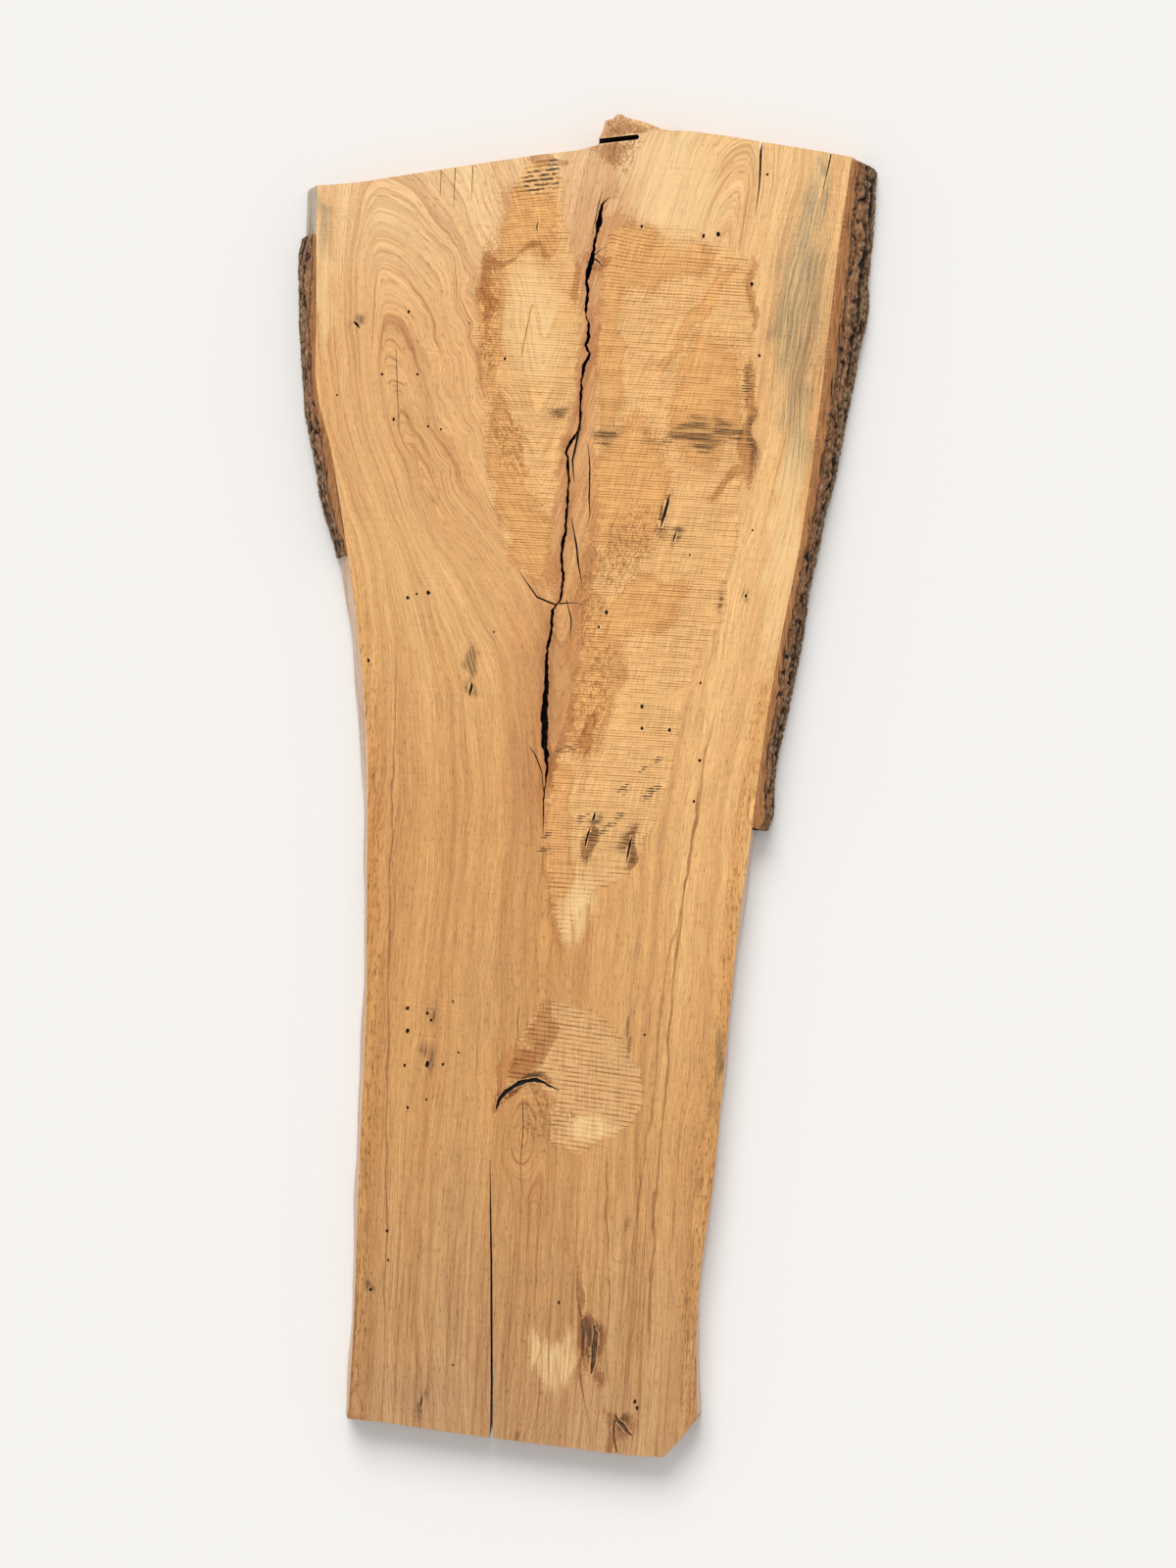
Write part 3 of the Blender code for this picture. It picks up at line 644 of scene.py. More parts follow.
def wedge(path, depth, step, jag, seed, upside=1):
    """Points and faces of a cutter. Its section has five corners, each with its side, its share of
    the half width and its fall: two outside the face, two halfway down, and the tip. The path is
    divided in fine steps, each corner strays by a random amount that grows with the jag, and the
    sections stand square to the smooth path."""
    path = np.array(path, float)
    run = run_of(path)
    count = max(3, int(run[-1] / step) + 1)
    fine = np.linspace(0, run[-1], count)
    x, y, width = (np.interp(fine, run, path[:, k]) for k in range(3))
    dx, dy = np.gradient(np.interp(fine, run, path[:, 0])), np.gradient(y)
    for _ in range(3):
        dx = np.convolve(np.pad(dx, 1, "edge"), (0.25, 0.5, 0.25), "valid")
        dy = np.convolve(np.pad(dy, 1, "edge"), (0.25, 0.5, 0.25), "valid")
    across = np.column_stack([dy, -dx]) / np.hypot(dx, dy)[:, None]
    draw = np.random.default_rng(seed)
    loose, soft = draw.uniform(-1, 1, (3, count + 2)), np.array((0.5, 1, 0.5)) / 1.4
    stray = np.stack([np.convolve(row, soft, "valid") for row in loose], axis=1)
    jumps = np.repeat(draw.uniform(-1, 1, count // JUMP_EVERY + 1), JUMP_EVERY)[:count]
    stray = (stray * (0.5, 0.3, 0.5) + JUMP_SHARE * jumps[:, None]) * jag
    fullness = np.minimum(1, width / FULL_WIDTH)
    stray *= fullness[:, None]
    tip = depth * (0.40 + 0.60 * fullness)
    face = THICK if upside > 0 else 0.0
    half = 0.5 * width
    corner = []
    for side, share, fall in SECTION:
        jitter = stray[:, side + 1] + 0.35 * (share < 1) * stray[:, 1]
        offset = side * half * share + jitter * (0.5 if side else 0.2) * np.minimum(1, half / 0.001)
        deep = np.full(count, fall) if fall < 0 else fall * tip
        corner.append(np.column_stack([x + across[:, 0] * offset, y + across[:, 1] * offset,
                                       face - upside * deep]))
    points = np.stack(corner, axis=1)
    return points.reshape(-1, 3), tube(points)


def upright(outline):
    """A cutter right through the slab with this outline. Its walls have points of their own at fine
    steps, close under both faces of the slab, so that they can carry the painted shade of a cut."""
    closed = np.vstack([outline, outline[:1]])
    run = run_of(closed)
    fine = np.union1d(run[:-1], np.arange(0, run[-1], WALL_STEP))
    fine = fine[np.append(True, np.diff(fine) > WALL_STEP / 20)]
    outline = np.column_stack([np.interp(fine, run, closed[:, k]) for k in (0, 1)])
    levels = (-STAND_OUT, WALL_DEPTH, THICK - WALL_DEPTH, THICK + STAND_OUT)
    points = np.stack([np.column_stack([outline, np.full(len(fine), z)]) for z in levels])
    return points.reshape(-1, 3), tube(points)


def through_wedge(path):
    """An upright wedge right through the slab, as wide as the path says."""
    path = np.array(path, float)
    half = path[:, 2:] / 2 * (1, 0)
    return upright(np.vstack([path[:, :2] - half, (path[:, :2] + half)[::-1]]))


def pin_holes(pixels):
    """One cutter with a small pointed pit for each pin knot: a ring above the face, a ring just
    under it, and a tip. The rings are uneven, and longer along the trunk than across it."""
    draw = np.random.default_rng(17)
    turn = np.linspace(0, 2 * np.pi, PIN_SIDES, endpoint=False)
    points, faces = [], []
    for x, y, width in with_width(pixels):
        uneven = width * draw.uniform(0.7, 1.2, PIN_SIDES)
        ring = (x, y) + np.column_stack([np.cos(turn), PIN_LENGTH * np.sin(turn)]) * uneven[:, None]
        high = np.column_stack([ring, np.full(PIN_SIDES, THICK + STAND_OUT)])
        low = np.column_stack([ring, np.full(PIN_SIDES, THICK - PIN_DEPTH)])
        first = sum(map(len, points))
        points.append(np.vstack([high, low, (x, y, THICK - 1.25 * PIN_DEPTH - width)]))
        index = first + np.arange(2 * PIN_SIDES).reshape(2, PIN_SIDES)
        around = np.concatenate([index, index[:, :1]], axis=1)
        faces += grid_faces(around[::-1]).tolist() + [index[0].tolist()]
        faces += [[a, index[-1, -1] + 1, b] for a, b in zip(around[1], around[1, 1:])]
    return np.vstack(points), faces


def kerf_bar():
    """The chainsaw's slot: a straight bar, open at its left end, with a rounded blind end."""
    mouth, end = np.array((-0.030, 2.1286)), np.array((0.0625, 2.1448))
    along = (end - mouth) / np.hypot(*(end - mouth))
    side = np.array((-along[1], along[0])) * KERF_WIDTH / 2
    turn = np.linspace(-np.pi / 2, np.pi / 2, 9)
    nose = end + np.outer(np.cos(turn), along * KERF_WIDTH / 2) + np.outer(np.sin(turn), side)
    return upright(np.vstack([mouth + side, mouth - side, nose]))


def outward(points, faces):
    """The faces turned so that the closed shape's volume is positive."""
    points = np.asarray(points)
    volume = sum(
        np.dot(points[f[0]], np.cross(points[f[i]], points[f[i + 1]]))
        for f in faces for i in range(1, len(f) - 1)
    )
    return faces if volume > 0 else [f[::-1] for f in faces]


def cut(thing, shapes):
    """Takes each shape out of the thing, then keeps the result as the thing's own mesh. The inner
    points of a cut bring their share of painted shade with them as "cut", which the finish turns into
    painted shade: nearly black in a crack, and brown in a bark pocket."""
    cutters = []
    for name, (points, faces) in shapes.items():
        painted_shade = POCKET_SHADE if name.startswith("pocket") else 1.0
        cutter = add_mesh("cutter_" + name, points, outward(points, faces),
                          {"cut": np.full(len(points), painted_shade)})
        modifier = thing.modifiers.new(name, "BOOLEAN")
        modifier.operation = "DIFFERENCE"
        modifier.solver = "MANIFOLD"
        modifier.object = cutter
        cutters.append(cutter)
    graph = bpy.context.evaluated_depsgraph_get()
    result = bpy.data.meshes.new_from_object(thing.evaluated_get(graph), depsgraph=graph)
    thing.modifiers.clear()
    thing.data = result
    for cutter in cutters:
        bpy.data.objects.remove(cutter)
    return len(result.polygons)


cutters = {
    "heart": wedge([(x, y, 1.1 * width) for x, y, width in HEART_CRACK], 0.040, 0.0030, 0.0042, 1),
    "under": wedge(UNDER_CRACK, 0.010, 0.0080, 0.0010, 2, upside=-1),
    "foot_check": through_wedge(FOOT_CHECK),
    "fork_check": through_wedge(FORK_CHECK),
    "kerf": kerf_bar(),
    "knot_seam": wedge(with_width(KNOT_SEAM_PIXELS), 0.007, 0.0024, 0.0026, 3),
    "pin_knots": pin_holes(PIN_PIXELS),
}
for family, table, depth, step, jag, seed in (
    ("", BRANCH_PIXELS, 0.008, 0.0040, 0.0010, 10),
    ("pocket_", POCKET_PIXELS, 0.007, 0.0025, 0.0014, 30),
    ("slit_", SLIT_PIXELS, 0.006, 0.0030, 0.0012, 50),
):
    for n, (name, pixels) in enumerate(table.items()):
        cutters[family + name] = wedge(with_width(pixels), depth, step, jag, seed + n)
left_over = cut(slab, cutters)
print(len(cutters), "cuts leave", left_over, "faces")

# %% [markdown]
# Bark is furrowed: long ridges wander along the trunk, meet and part, and are broken across into
# plates. On the slab one sees it twice. The saw left a smooth band of inner bark level with the
# wood, and beyond it the rough outside slopes away below.

# %% The bark strips' sizes
LEFT_BARK_ENDS = (1.420, 1.952)
LEFT_BARK = ((1.415, 0.004, 0.001), (1.450, 0.006, 0.001), (1.520, 0.014, 0.002),
             (1.580, 0.015, 0.004), (1.640, 0.011, 0.003), (1.690, 0.008, 0.001),
             (1.760, 0.009, 0.001), (1.815, 0.012, 0.001), (1.860, 0.009, 0.004),
             (1.905, 0.006, 0.007), (1.955, 0.003, 0.001))
RIGHT_BARK_ENDS = (1.004, 2.1275)
RIGHT_BARK = ((1.000, 0.016, 0.001), (1.030, 0.021, 0.001), (1.080, 0.014, 0.003),
              (1.150, 0.011, 0.004), (1.230, 0.012, 0.009), (1.350, 0.013, 0.006),
              (1.440, 0.011, 0.002), (1.500, 0.013, 0.003), (1.610, 0.018, 0.006),
              (1.740, 0.021, 0.010), (1.870, 0.023, 0.019), (1.960, 0.021, 0.014),
              (2.060, 0.017, 0.013), (2.130, 0.013, 0.010))
BARK_GAP = 0.0005
BARK_STEP = 0.0018
FULL_BARK = 0.012  # bark this thick has its full relief
LEAST_BARK = 0.0018
MEAN_CROWN = 0.62
LOWER_END, UPPER_END = 0.03, 0.05  # how far up the torn end and the sawn end reach


def bark_relief(around, along, phase):
    """Height of the bark from 0 in a furrow to 1 on a ridge. Furrows are where |sin| of the place
    round the log comes near 0; a sum of long waves makes them wander, other waves break the ridges
    across, and fine ripples crumble what is left."""
    wander = 1.0 * np.sin(along / 0.055 + phase) + 0.6 * np.sin(along / 0.023 + 2.2 * phase)
    wander = wander + 1.1 * ripple(around * 2, along * 0.6, 0.05, 71)
    furrow = np.abs(np.sin(np.pi * around / 0.021 + wander + phase)) ** 0.75
    breaks = np.abs(np.sin(np.pi * along / 0.058 + 3.4 * ripple(around, along, 0.04, 72)))
    plates = smooth(breaks, 0.0, 0.34)
    crumbs = ripple(around, along * 0.6, 0.009, 73) * 0.20 + ripple(around, along, 0.0042, 74) * 0.08
    return np.clip(furrow * (0.45 + 0.55 * plates) + crumbs, 0, 1.15)


def bark_strip(edge, flare, sign, ends, sizes, end_cut, phase):
    """A closed strip. Each section goes round four sides: outwards over the sawn band, down the rough
    side, back under, and up along the wood. Depth of relief grows from the arris downwards, and the
    sawn band keeps notches where furrows meet it."""
    y = np.linspace(*ends, int((ends[1] - ends[0]) / BARK_STEP) + 1)[:, None]
    sizes = np.array(sizes)
    thick, bulge = spline(sizes[:, :2], y), spline(sizes[:, [0, 2]], y)
    gap = BARK_GAP + 0.0016 * smooth(ripple(y, 0 * y, 0.12, 81), 0.2, 0.8) * (sign < 0)
    band = np.linspace(0, 1, 9)[None, :-1]
    down = np.linspace(1, 0, 38)[None, :]
    back = np.linspace(1, 0, 5)[None, 1:-1]
    rise = np.linspace(0, 1, 7)[None, :-1]

    def inner(share):
        return side_x(edge, flare, sign, y, share) + sign * gap

    depth_round = THICK * (1 - down) * 1.1
    height = bark_relief(depth_round + 0 * y, y + 0 * down, phase)
    swell = np.sin(0.5 * np.pi * (1 - down)) ** 0.6
    proud = np.minimum(1, thick / FULL_BARK)
    out = thick + bulge * swell + proud * (height - MEAN_CROWN) * (0.0042 + 0.0030 * swell)
    outer = inner(down) + sign * np.maximum(LEAST_BARK, out)
    band_x = inner(1.0) + (outer[:, :1] - inner(1.0)) * band
    under_x = outer[:, -1:] + (inner(0.0) - outer[:, -1:]) * (1 - back)
    x = np.concatenate([band_x, outer, under_x, inner(rise)], axis=1)
    share = np.concatenate([band * 0 + 1, down, back * 0, rise], axis=1) + 0 * y
    unseen = np.zeros((len(y), back.shape[1] + rise.shape[1]))
    crown = np.concatenate([0 * band_x + 1, height, unseen], axis=1)
    across = np.concatenate([band + 0 * y, 0 * outer + 1, unseen], axis=1)
    ragged = 0.0035 * ripple(x, share * THICK, 0.014, 83)
    near_start = np.clip(1 - (y - ends[0]) / LOWER_END, 0, 1)
    near_end = np.clip(1 + (y - ends[1]) / UPPER_END, 0, 1)
    y_all = y + near_start * np.abs(ragged) + near_end * end_cut * (x - inner(1.0))
    z = THICK * share
    points = np.stack([x, y_all, z], axis=-1)
    faces = tube(points)
    points = points.reshape(-1, 3)
    return points, outward(points, faces), {"crown": crown, "across": across}


RIGHT_SLOPE = (2.134 - 2.141) / (0.422 - 0.366)  # of the fork's saw cut at its right corner
bark_left = add_mesh("bark_strip_left", *bark_strip(
    LEFT_EDGE, LEFT_FLARE, -1, LEFT_BARK_ENDS, LEFT_BARK, 0.0, 2.0))
bark_right = add_mesh("bark_strip_right", *bark_strip(
    RIGHT_EDGE, RIGHT_FLARE, 1, RIGHT_BARK_ENDS, RIGHT_BARK, RIGHT_SLOPE, 0.6))
print("bark faces", len(bark_left.data.polygons), len(bark_right.data.polygons))

# %% [markdown]
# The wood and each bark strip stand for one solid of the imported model. Nothing moves, so all three
# ride on its one body.

# %% The pieces stand for the solid's nodes
for piece, node, slot in ((slab, "slab", "wood"), (bark_left, "bark_left", "bark"),
                          (bark_right, "bark_right", "bark")):
    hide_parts(node)
    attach(piece, "root")
    print(piece.name, "stands for", node)

# %% [markdown]
# A finish in Blender is a tree of nodes. These short helpers add nodes to the tree that was opened
# last, which is always called tree, and give back an output, so that a finish below reads as a
# formula. A number or a colour goes into a socket as it is, and an output of a node is linked.

# %% Helpers for finishes
tree = None


def feed(socket, value):
    """Links an output to the socket, or writes a plain value in it."""
    if isinstance(value, bpy.types.NodeSocket):
        tree.links.new(value, socket)
    elif value is not None:
        socket.default_value = value


def add(kind, *values, out=0, **settings):
    """A node with its settings and its input values in order. Gives back one of its outputs."""
    node = tree.nodes.new("ShaderNode" + kind)
    for key, value in settings.items():
        setattr(node, key, value)
    for socket, value in zip(node.inputs, values):
        feed(socket, value)
    return node.outputs[out]


def calc(operation, *values):
    """One step of arithmetic."""
    return add("Math", *values, operation=operation)


def total(first, *rest):
    """The sum of several values."""
    for value in rest:
        first = calc("ADD", first, value)
    return first


def product(first, *rest):
    """Several values multiplied."""
    for value in rest:
        first = calc("MULTIPLY", first, value)
    return first


def minus(a, b):
    """The difference of two values."""
    return calc("SUBTRACT", a, b)


def stretch(place, *scales):
    """The place scaled by its own factor in each direction."""
    return add("VectorMath", place, tuple(map(float, scales)), operation="MULTIPLY")


def parts(place):
    """The x, y and z of a vector."""
    node = tree.nodes.new("ShaderNodeSeparateXYZ")
    tree.links.new(place, node.inputs[0])
    return tuple(node.outputs)


def carried(name):
    """A value that the mesh's points carry."""
    return add("Attribute", out=2, attribute_name=name)


def fit(value, low, high, to_low=0.0, to_high=1.0, kind="SMOOTHSTEP"):
    """Turns the range low to high into to_low to to_high, and holds the ends."""
    return add("MapRange", value, low, high, to_low, to_high, interpolation_type=kind)


def blend(share, a, b, way="MIX"):
    """Colour a turned towards colour b by a share."""
    node = tree.nodes.new("ShaderNodeMix")
    node.data_type, node.blend_type = "RGBA", way
    for socket, value in zip((node.inputs[0], node.inputs[6], node.inputs[7]), (share, a, b)):
        feed(socket, (*value, 1.0) if isinstance(value, tuple) else value)
    return node.outputs[2]


def tint(share, face, colour):
    """A face multiplied by a colour, by a share."""
    return blend(share, face, colour, "MULTIPLY")


def vector(x, y, z=0.0):
    """A vector from three values."""
    return add("CombineXYZ", x, y, z)


def noise(place, scale, detail=2.0, rough=0.5, sizes="2D"):
    """Noise between 0 and 1, around 0.5. In 1D the place is a single value."""
    node = tree.nodes.new("ShaderNodeTexNoise")
    node.noise_dimensions = sizes
    feed(node.inputs["W" if sizes == "1D" else "Vector"], place)
    for name, value in (("Scale", scale), ("Detail", detail), ("Roughness", rough)):
        feed(node.inputs[name], value)
    return node.outputs[0]


def colours(value, *stops):
    """A row of colours at places from 0 to 1, blended between them."""
    node = tree.nodes.new("ShaderNodeValToRGB")
    ramp = node.color_ramp
    while len(ramp.elements) < len(stops):
        ramp.elements.new(0.5)
    for element, (place, colour) in zip(ramp.elements, stops):
        element.position = place
        element.color = (*colour, 1.0)
    feed(node.inputs[0], value)
    return node.outputs[0]


def curve(value, points):
    """A smooth curve through (place, value) points, in their own units."""
    points = np.array(points, float)
    (start, low), (end, high) = points.min(axis=0), points.max(axis=0)
    node = tree.nodes.new("ShaderNodeFloatCurve")
    line = node.mapping.curves[0]
    ratio = (points - (start, low)) / (end - start, max(high - low, 1e-9))
    while len(line.points) < len(ratio):
        line.points.new(0.5, 0.5)
    for point, (x, y) in zip(line.points, ratio):
        point.location = (x, y)
    node.mapping.update()
    feed(node.inputs["Value"], fit(value, start, end, kind="LINEAR"))
    return calc("MULTIPLY_ADD", node.outputs[0], high - low, low)


def group(name, inputs, outputs, fill):
    """A node group: fill gets the group's inputs and gives back its outputs in order."""
    global tree
    tree = bpy.data.node_groups.new(name, "ShaderNodeTree")
    for way, sockets in (("INPUT", inputs), ("OUTPUT", outputs)):
        for title, kind in sockets:
            tree.interface.new_socket(title, in_out=way, socket_type="NodeSocket" + kind)
    entry, leave = tree.nodes.new("NodeGroupInput"), tree.nodes.new("NodeGroupOutput")
    for socket, value in zip(leave.inputs, fill(*entry.outputs[:len(inputs)])):
        feed(socket, value)
    return tree


def use(made, *values):
    """Places a group in a tree and gives back its outputs."""
    node = tree.nodes.new("ShaderNodeGroup")
    node.node_tree = made
    for socket, value in zip(node.inputs, values):
        feed(socket, value)
    return node.outputs


def finish_of(name, roughness, specular=0.35):
    """A material with an empty tree, a Principled shader and its output."""
    made = bpy.data.materials.new(name)
    made.use_nodes = True
    shader = made.node_tree.nodes["Principled BSDF"]
    shader.inputs["Roughness"].default_value = roughness
    shader.inputs["Specular IOR Level"].default_value = specular
    return made, made.node_tree, shader


def plan_place():
    """The place on the object in plan metres: z is the depth below the upper face."""
    place = add("TexCoord", out=3)
    shifted = add("VectorMath", place, (-FOOT[0], -FOOT[1], -THICK), operation="ADD")
    return add("VectorMath", shifted, (1, 1, -1), operation="MULTIPLY")


print("helpers for finishes are ready")

# %% [markdown]
# Wood grain is the tree's rings, cut by the saw. A ring lies at a fixed distance from the pith, so
# the pattern on any face is that distance, turned into light and dark bands. This trunk forks: one
# pith line runs up the foot and parts into two, each sinking below the face as it leans away, which
# bends the lines into the arches at the fork. The nearer pith decides, and the border between the
# two is where the heart crack opened. Working from the distance in space gives the side and end
# faces the right pattern too.

# %% Where the piths run: (y, x) and (y, depth)
PITH_LEFT = ((-0.1, -0.004), (0.5, -0.010), (0.95, -0.014), (1.15, -0.036), (1.35, -0.118),
             (1.55, -0.242), (1.75, -0.318), (1.95, -0.345), (2.2, -0.360))
PITH_LEFT_DEPTH = ((-0.1, 0.012), (0.6, 0.006), (1.1, 0.004), (1.45, 0.006), (1.60, 0.018),
                   (1.72, 0.040), (1.88, 0.085), (2.02, 0.150), (2.2, 0.210))
PITH_RIGHT = ((-0.1, -0.004), (0.5, -0.010), (0.95, -0.012), (1.2, 0.030), (1.5, 0.105),
              (1.8, 0.185), (2.05, 0.240), (2.2, 0.262))
PITH_RIGHT_DEPTH = ((-0.1, 0.012), (0.6, 0.006), (1.1, 0.004), (1.7, 0.006), (1.9, 0.012),
                    (2.02, 0.030), (2.2, 0.110))
PINCH_LEFT = ((-0.1, -0.04), (1.0, -0.05), (1.15, -0.11), (1.35, -0.43), (1.55, -1.00),
              (1.75, -1.25), (1.95, -1.50), (2.2, -1.60))
PINCH_RIGHT = ((-0.1, 0.03), (1.2, 0.0), (1.5, 0.11), (1.8, 0.41), (2.05, 0.71), (2.2, 0.85))
KNOT_PLACE = plan([(531, 1160)])[0]
KNOT_LONG = 0.21  # what the square of the distance along the trunk counts for in the knot's ovals
KNOT_REACH = (0.028, 0.052)
KNOT_SLOWER = 0.8  # the ring distance grows this much slower in the knot
CURLY_PLACE, CURLY_HALF = (-0.215, 1.76, 0), (0.11, 0.22, 1e3)
CRACK_LINE = [(y, x) for x, y, _ in HEART_CRACK[::-1]]


def blot_fill(place, centre, turn, half, soft):
    """1 inside an oval and 0 outside: the length of the place measured in half sizes, softened."""
    turned = vector(0.0, 0.0, turn)
    local = add("Mapping", place, centre, turned, half, vector_type="TEXTURE")
    away = add("VectorMath", local, operation="LENGTH", out=1)
    start, end = minus(1.0, soft), total(1.0, soft)
    return (fit(away, start, end, 1.0, 0.0),)


blot = group("blot", (("Place", "Vector"), ("Centre", "Vector"), ("Turn", "Float"),
                      ("Half", "Vector"), ("Soft", "Float")), (("Mask", "Float"),), blot_fill)


def grain_fill(place):
    """Ring distance: sqrt((x - pith x)^2 + (depth + z)^2) for both piths after a slow warp, joined
    by a smooth minimum, and bent into ovals round the knot. Outside each pith the x part is pinched
    as the wood there gets narrower, so that the rings run along the live edge."""
    x, y, z = parts(place)
    slow = noise(stretch(place, 5, 1.6, 5), 1.0, 2.0, 0.5, "3D")
    quick = noise(stretch(place, 14, 9, 14), 1.0, 2.0, 0.55, "3D")
    curly = use(blot, place, CURLY_PLACE, 0.0, CURLY_HALF, 0.55)[0]
    sway = total(
        fit(slow, 0.25, 0.75, -0.020, 0.020, "LINEAR"),
        product(fit(quick, 0.25, 0.75, -1.0, 1.0, "LINEAR"),
                fit(curly, 0, 1, 0.0030, 0.0150)),
    )
    moved = total(x, sway)
    rings = []
    for pith, depth, pinch, sign in ((PITH_LEFT, PITH_LEFT_DEPTH, PINCH_LEFT, -1.0),
                                     (PITH_RIGHT, PITH_RIGHT_DEPTH, PINCH_RIGHT, 1.0)):
        out = minus(moved, curve(y, pith))
        outside = calc("MAXIMUM", product(out, sign), 0.0)
        out = total(out, product(outside, curve(y, pinch)))
        down = total(curve(y, depth), z)
        rings.append(calc("SQRT", total(product(out, out), product(down, down))))
    ring = calc("SMOOTH_MIN", *rings, 0.015)
    knot_x, knot_y = (minus(v, float(c)) for v, c in zip((moved, y), KNOT_PLACE))
    oval = calc("SQRT", total(product(knot_x, knot_x), product(product(knot_y, knot_y), KNOT_LONG)))
    near = fit(oval, *KNOT_REACH, 1.0, 0.0)
    bent = product(oval, KNOT_SLOWER)
    step = product(near, minus(bent, ring))
    return total(ring, step), y


grain = group("pecan_grain", (("Place", "Vector"),), (("Ring", "Float"), ("Along", "Float")),
              grain_fill)


def tones_fill(ring, along):
    """Bands at four scales from the ring distance: broad bands, rings, thin late-wood lines, and
    fibres and pores, which also change along the trunk."""
    broad = noise(ring, 26.0, 1.0, 0.5, "1D")
    middle = noise(ring, 85.0, 2.0, 0.55, "1D")
    ring_long = vector(ring, product(along, 0.018))
    late = noise(ring_long, 230.0, 2.0, 0.55)
    fibre = noise(vector(ring, product(along, 0.030)), 520.0, 3.0, 0.65)
    pores = noise(vector(ring, product(along, 0.11)), 640.0, 1.0, 0.5)
    return (
        fit(broad, 0.30, 0.70, -1.0, 1.0, "LINEAR"),
        fit(middle, 0.30, 0.70, -1.0, 1.0, "LINEAR"),
        fit(late, 0.54, 0.76),
        fit(fibre, 0.30, 0.70, -1.0, 1.0, "LINEAR"),
        fit(pores, 0.62, 0.74),
    )


tones = group(
    "grain_tones", (("Ring", "Float"), ("Along", "Float")),
    (("Broad", "Float"), ("Middle", "Float"), ("Late", "Float"), ("Fibre", "Float"),
     ("Pores", "Float")), tones_fill)
print("groups:", [g.name for g in bpy.data.node_groups])

# %% [markdown]
# The wood's finish starts from a tan that runs from pinkish pale at the fork to darker at the foot,
# as in the photograph. The grain's bands darken it in turn. Along both edges the sapwood is paler
# and its coarse pores show more, and towards the foot there are long brown streaks.

# %% The wood's tan and its grain
wood, tree, shader = finish_of("pecan_wood", 0.62)
place = plan_place()
x, y, z = parts(place)
ring, along = use(grain, place)
broad, middle, late, fibre, pores = use(tones, ring, along)
# The last of these is the share of painted shade that the cuts' points carry as "cut".
low, ridge, edge, cut_shade = (carried(name) for name in ("low", "ridge", "edge", "cut"))
crumble = noise(stretch(place, 330, 200, 330), 1.0, 3.0, 0.6)
sway = noise(stretch(place, 50, 12, 50), 1.0, 3.0, 0.6)

tan = colours(
    product(y, 1 / 2.2),
    (0.0, (0.565, 0.325, 0.145)), (0.23, (0.670, 0.360, 0.128)), (0.45, (0.700, 0.366, 0.128)),
    (0.64, (0.815, 0.475, 0.188)), (0.82, (0.805, 0.458, 0.188)), (0.96, (0.920, 0.625, 0.320)),
)
light_right = product(fit(x, 0.06, 0.22), fit(y, 0.40, 1.10, 0.15, 1.0))
tan = blend(product(light_right, 0.65), tan, (0.920, 0.560, 0.230))
face = tint(fit(broad, -1.0, 1.0, 0.0, 0.85), tan, (0.84, 0.76, 0.72))
late_share = product(late, fit(carried("curly"), 0.0, 1.0, 0.42, 0.90))
face = tint(late_share, face, (0.66, 0.47, 0.37))
shade = total(1.0, product(middle, 0.075), product(fibre, 0.19))
planer_track = noise(calc("FLOOR", product(x, 17.0)), 1.7, 0.0, 0.5, "1D")
shade = total(shade, fit(planer_track, 0.3, 0.7, -0.025, 0.025, "LINEAR"))
face = tint(1.0, face, vector(shade, shade, shade))
ragged_edge = total(edge, fit(sway, 0.2, 0.8, -0.007, 0.007, "LINEAR"))
sapwood = product(fit(ragged_edge, 0.015, 0.036, 1.0, 0.0), fit(y, 1.15, 1.50, 1.0, 0.25))
pore_share = product(pores, fit(sapwood, 0.0, 1.0, 0.50, 1.0))
face = tint(pore_share, face, (0.46, 0.32, 0.22))
face = tint(product(sapwood, 0.8), face, (1.0, 0.95, 0.84))
sap_flecks = fit(noise(stretch(place, 240, 40, 1), 1.0, 3.0, 0.6), 0.54, 0.66)
face = tint(product(sapwood, sap_flecks, 0.6), face, (0.55, 0.40, 0.27))
foot_streaks = fit(noise(stretch(place, 150, 3, 1), 1.0, 4.0, 0.6), 0.50, 0.66)
low_down = product(fit(y, 0.80, 0.10, 0.0, 0.55), foot_streaks)
face = tint(low_down, face, (0.62, 0.48, 0.36))
clear_wood = face
print("nodes for the clear wood", len(tree.nodes))

# %% [markdown]
# The rough sawn places are more golden, because the planer's smooth surface scatters the light
# less. Their border steps one way on the ridges and the other way in the valleys. In each valley
# runs a line of painted shade, broken by noise that is stretched along the saw's mark. The clear wood
# from before this step is kept for the ends and the underside.

# %% The rough sawn places
rough = fit(total(low, product(ridge, -0.0034)), -0.0008, 0.0012)
breaks = noise(stretch(place, 14, 300, 1), 1.0, 2.0, 0.6)
# Painted shade: a dark line in each valley of the saw marks.
valley_shade = product(fit(ridge, 0.15, -0.95), fit(breaks, 0.38, 0.60, 0.14, 1.0))
shade = total(1.0, product(middle, 0.03), product(fibre, 0.19), product(broad, 0.045))
gold = tint(1.0, (0.860, 0.500, 0.198), vector(shade, shade, shade))
gold = tint(fit(y, 1.15, 0.75, 0.0, 1.0), gold, (0.84, 0.83, 0.88))
gold = tint(valley_shade, gold, (0.46, 0.31, 0.19))
gold = tint(product(pores, 0.40), gold, (0.46, 0.32, 0.22))
face = blend(rough, face, gold)
print("nodes with the rough places", len(tree.nodes))

# %% [markdown]
# The smooth strip beside the heart crack is pinkish brown, and right at the crack it is darker where
# damp came out. Its place is the distance from the crack's own line. Five dark veins follow curves of
# their own down the trunk.

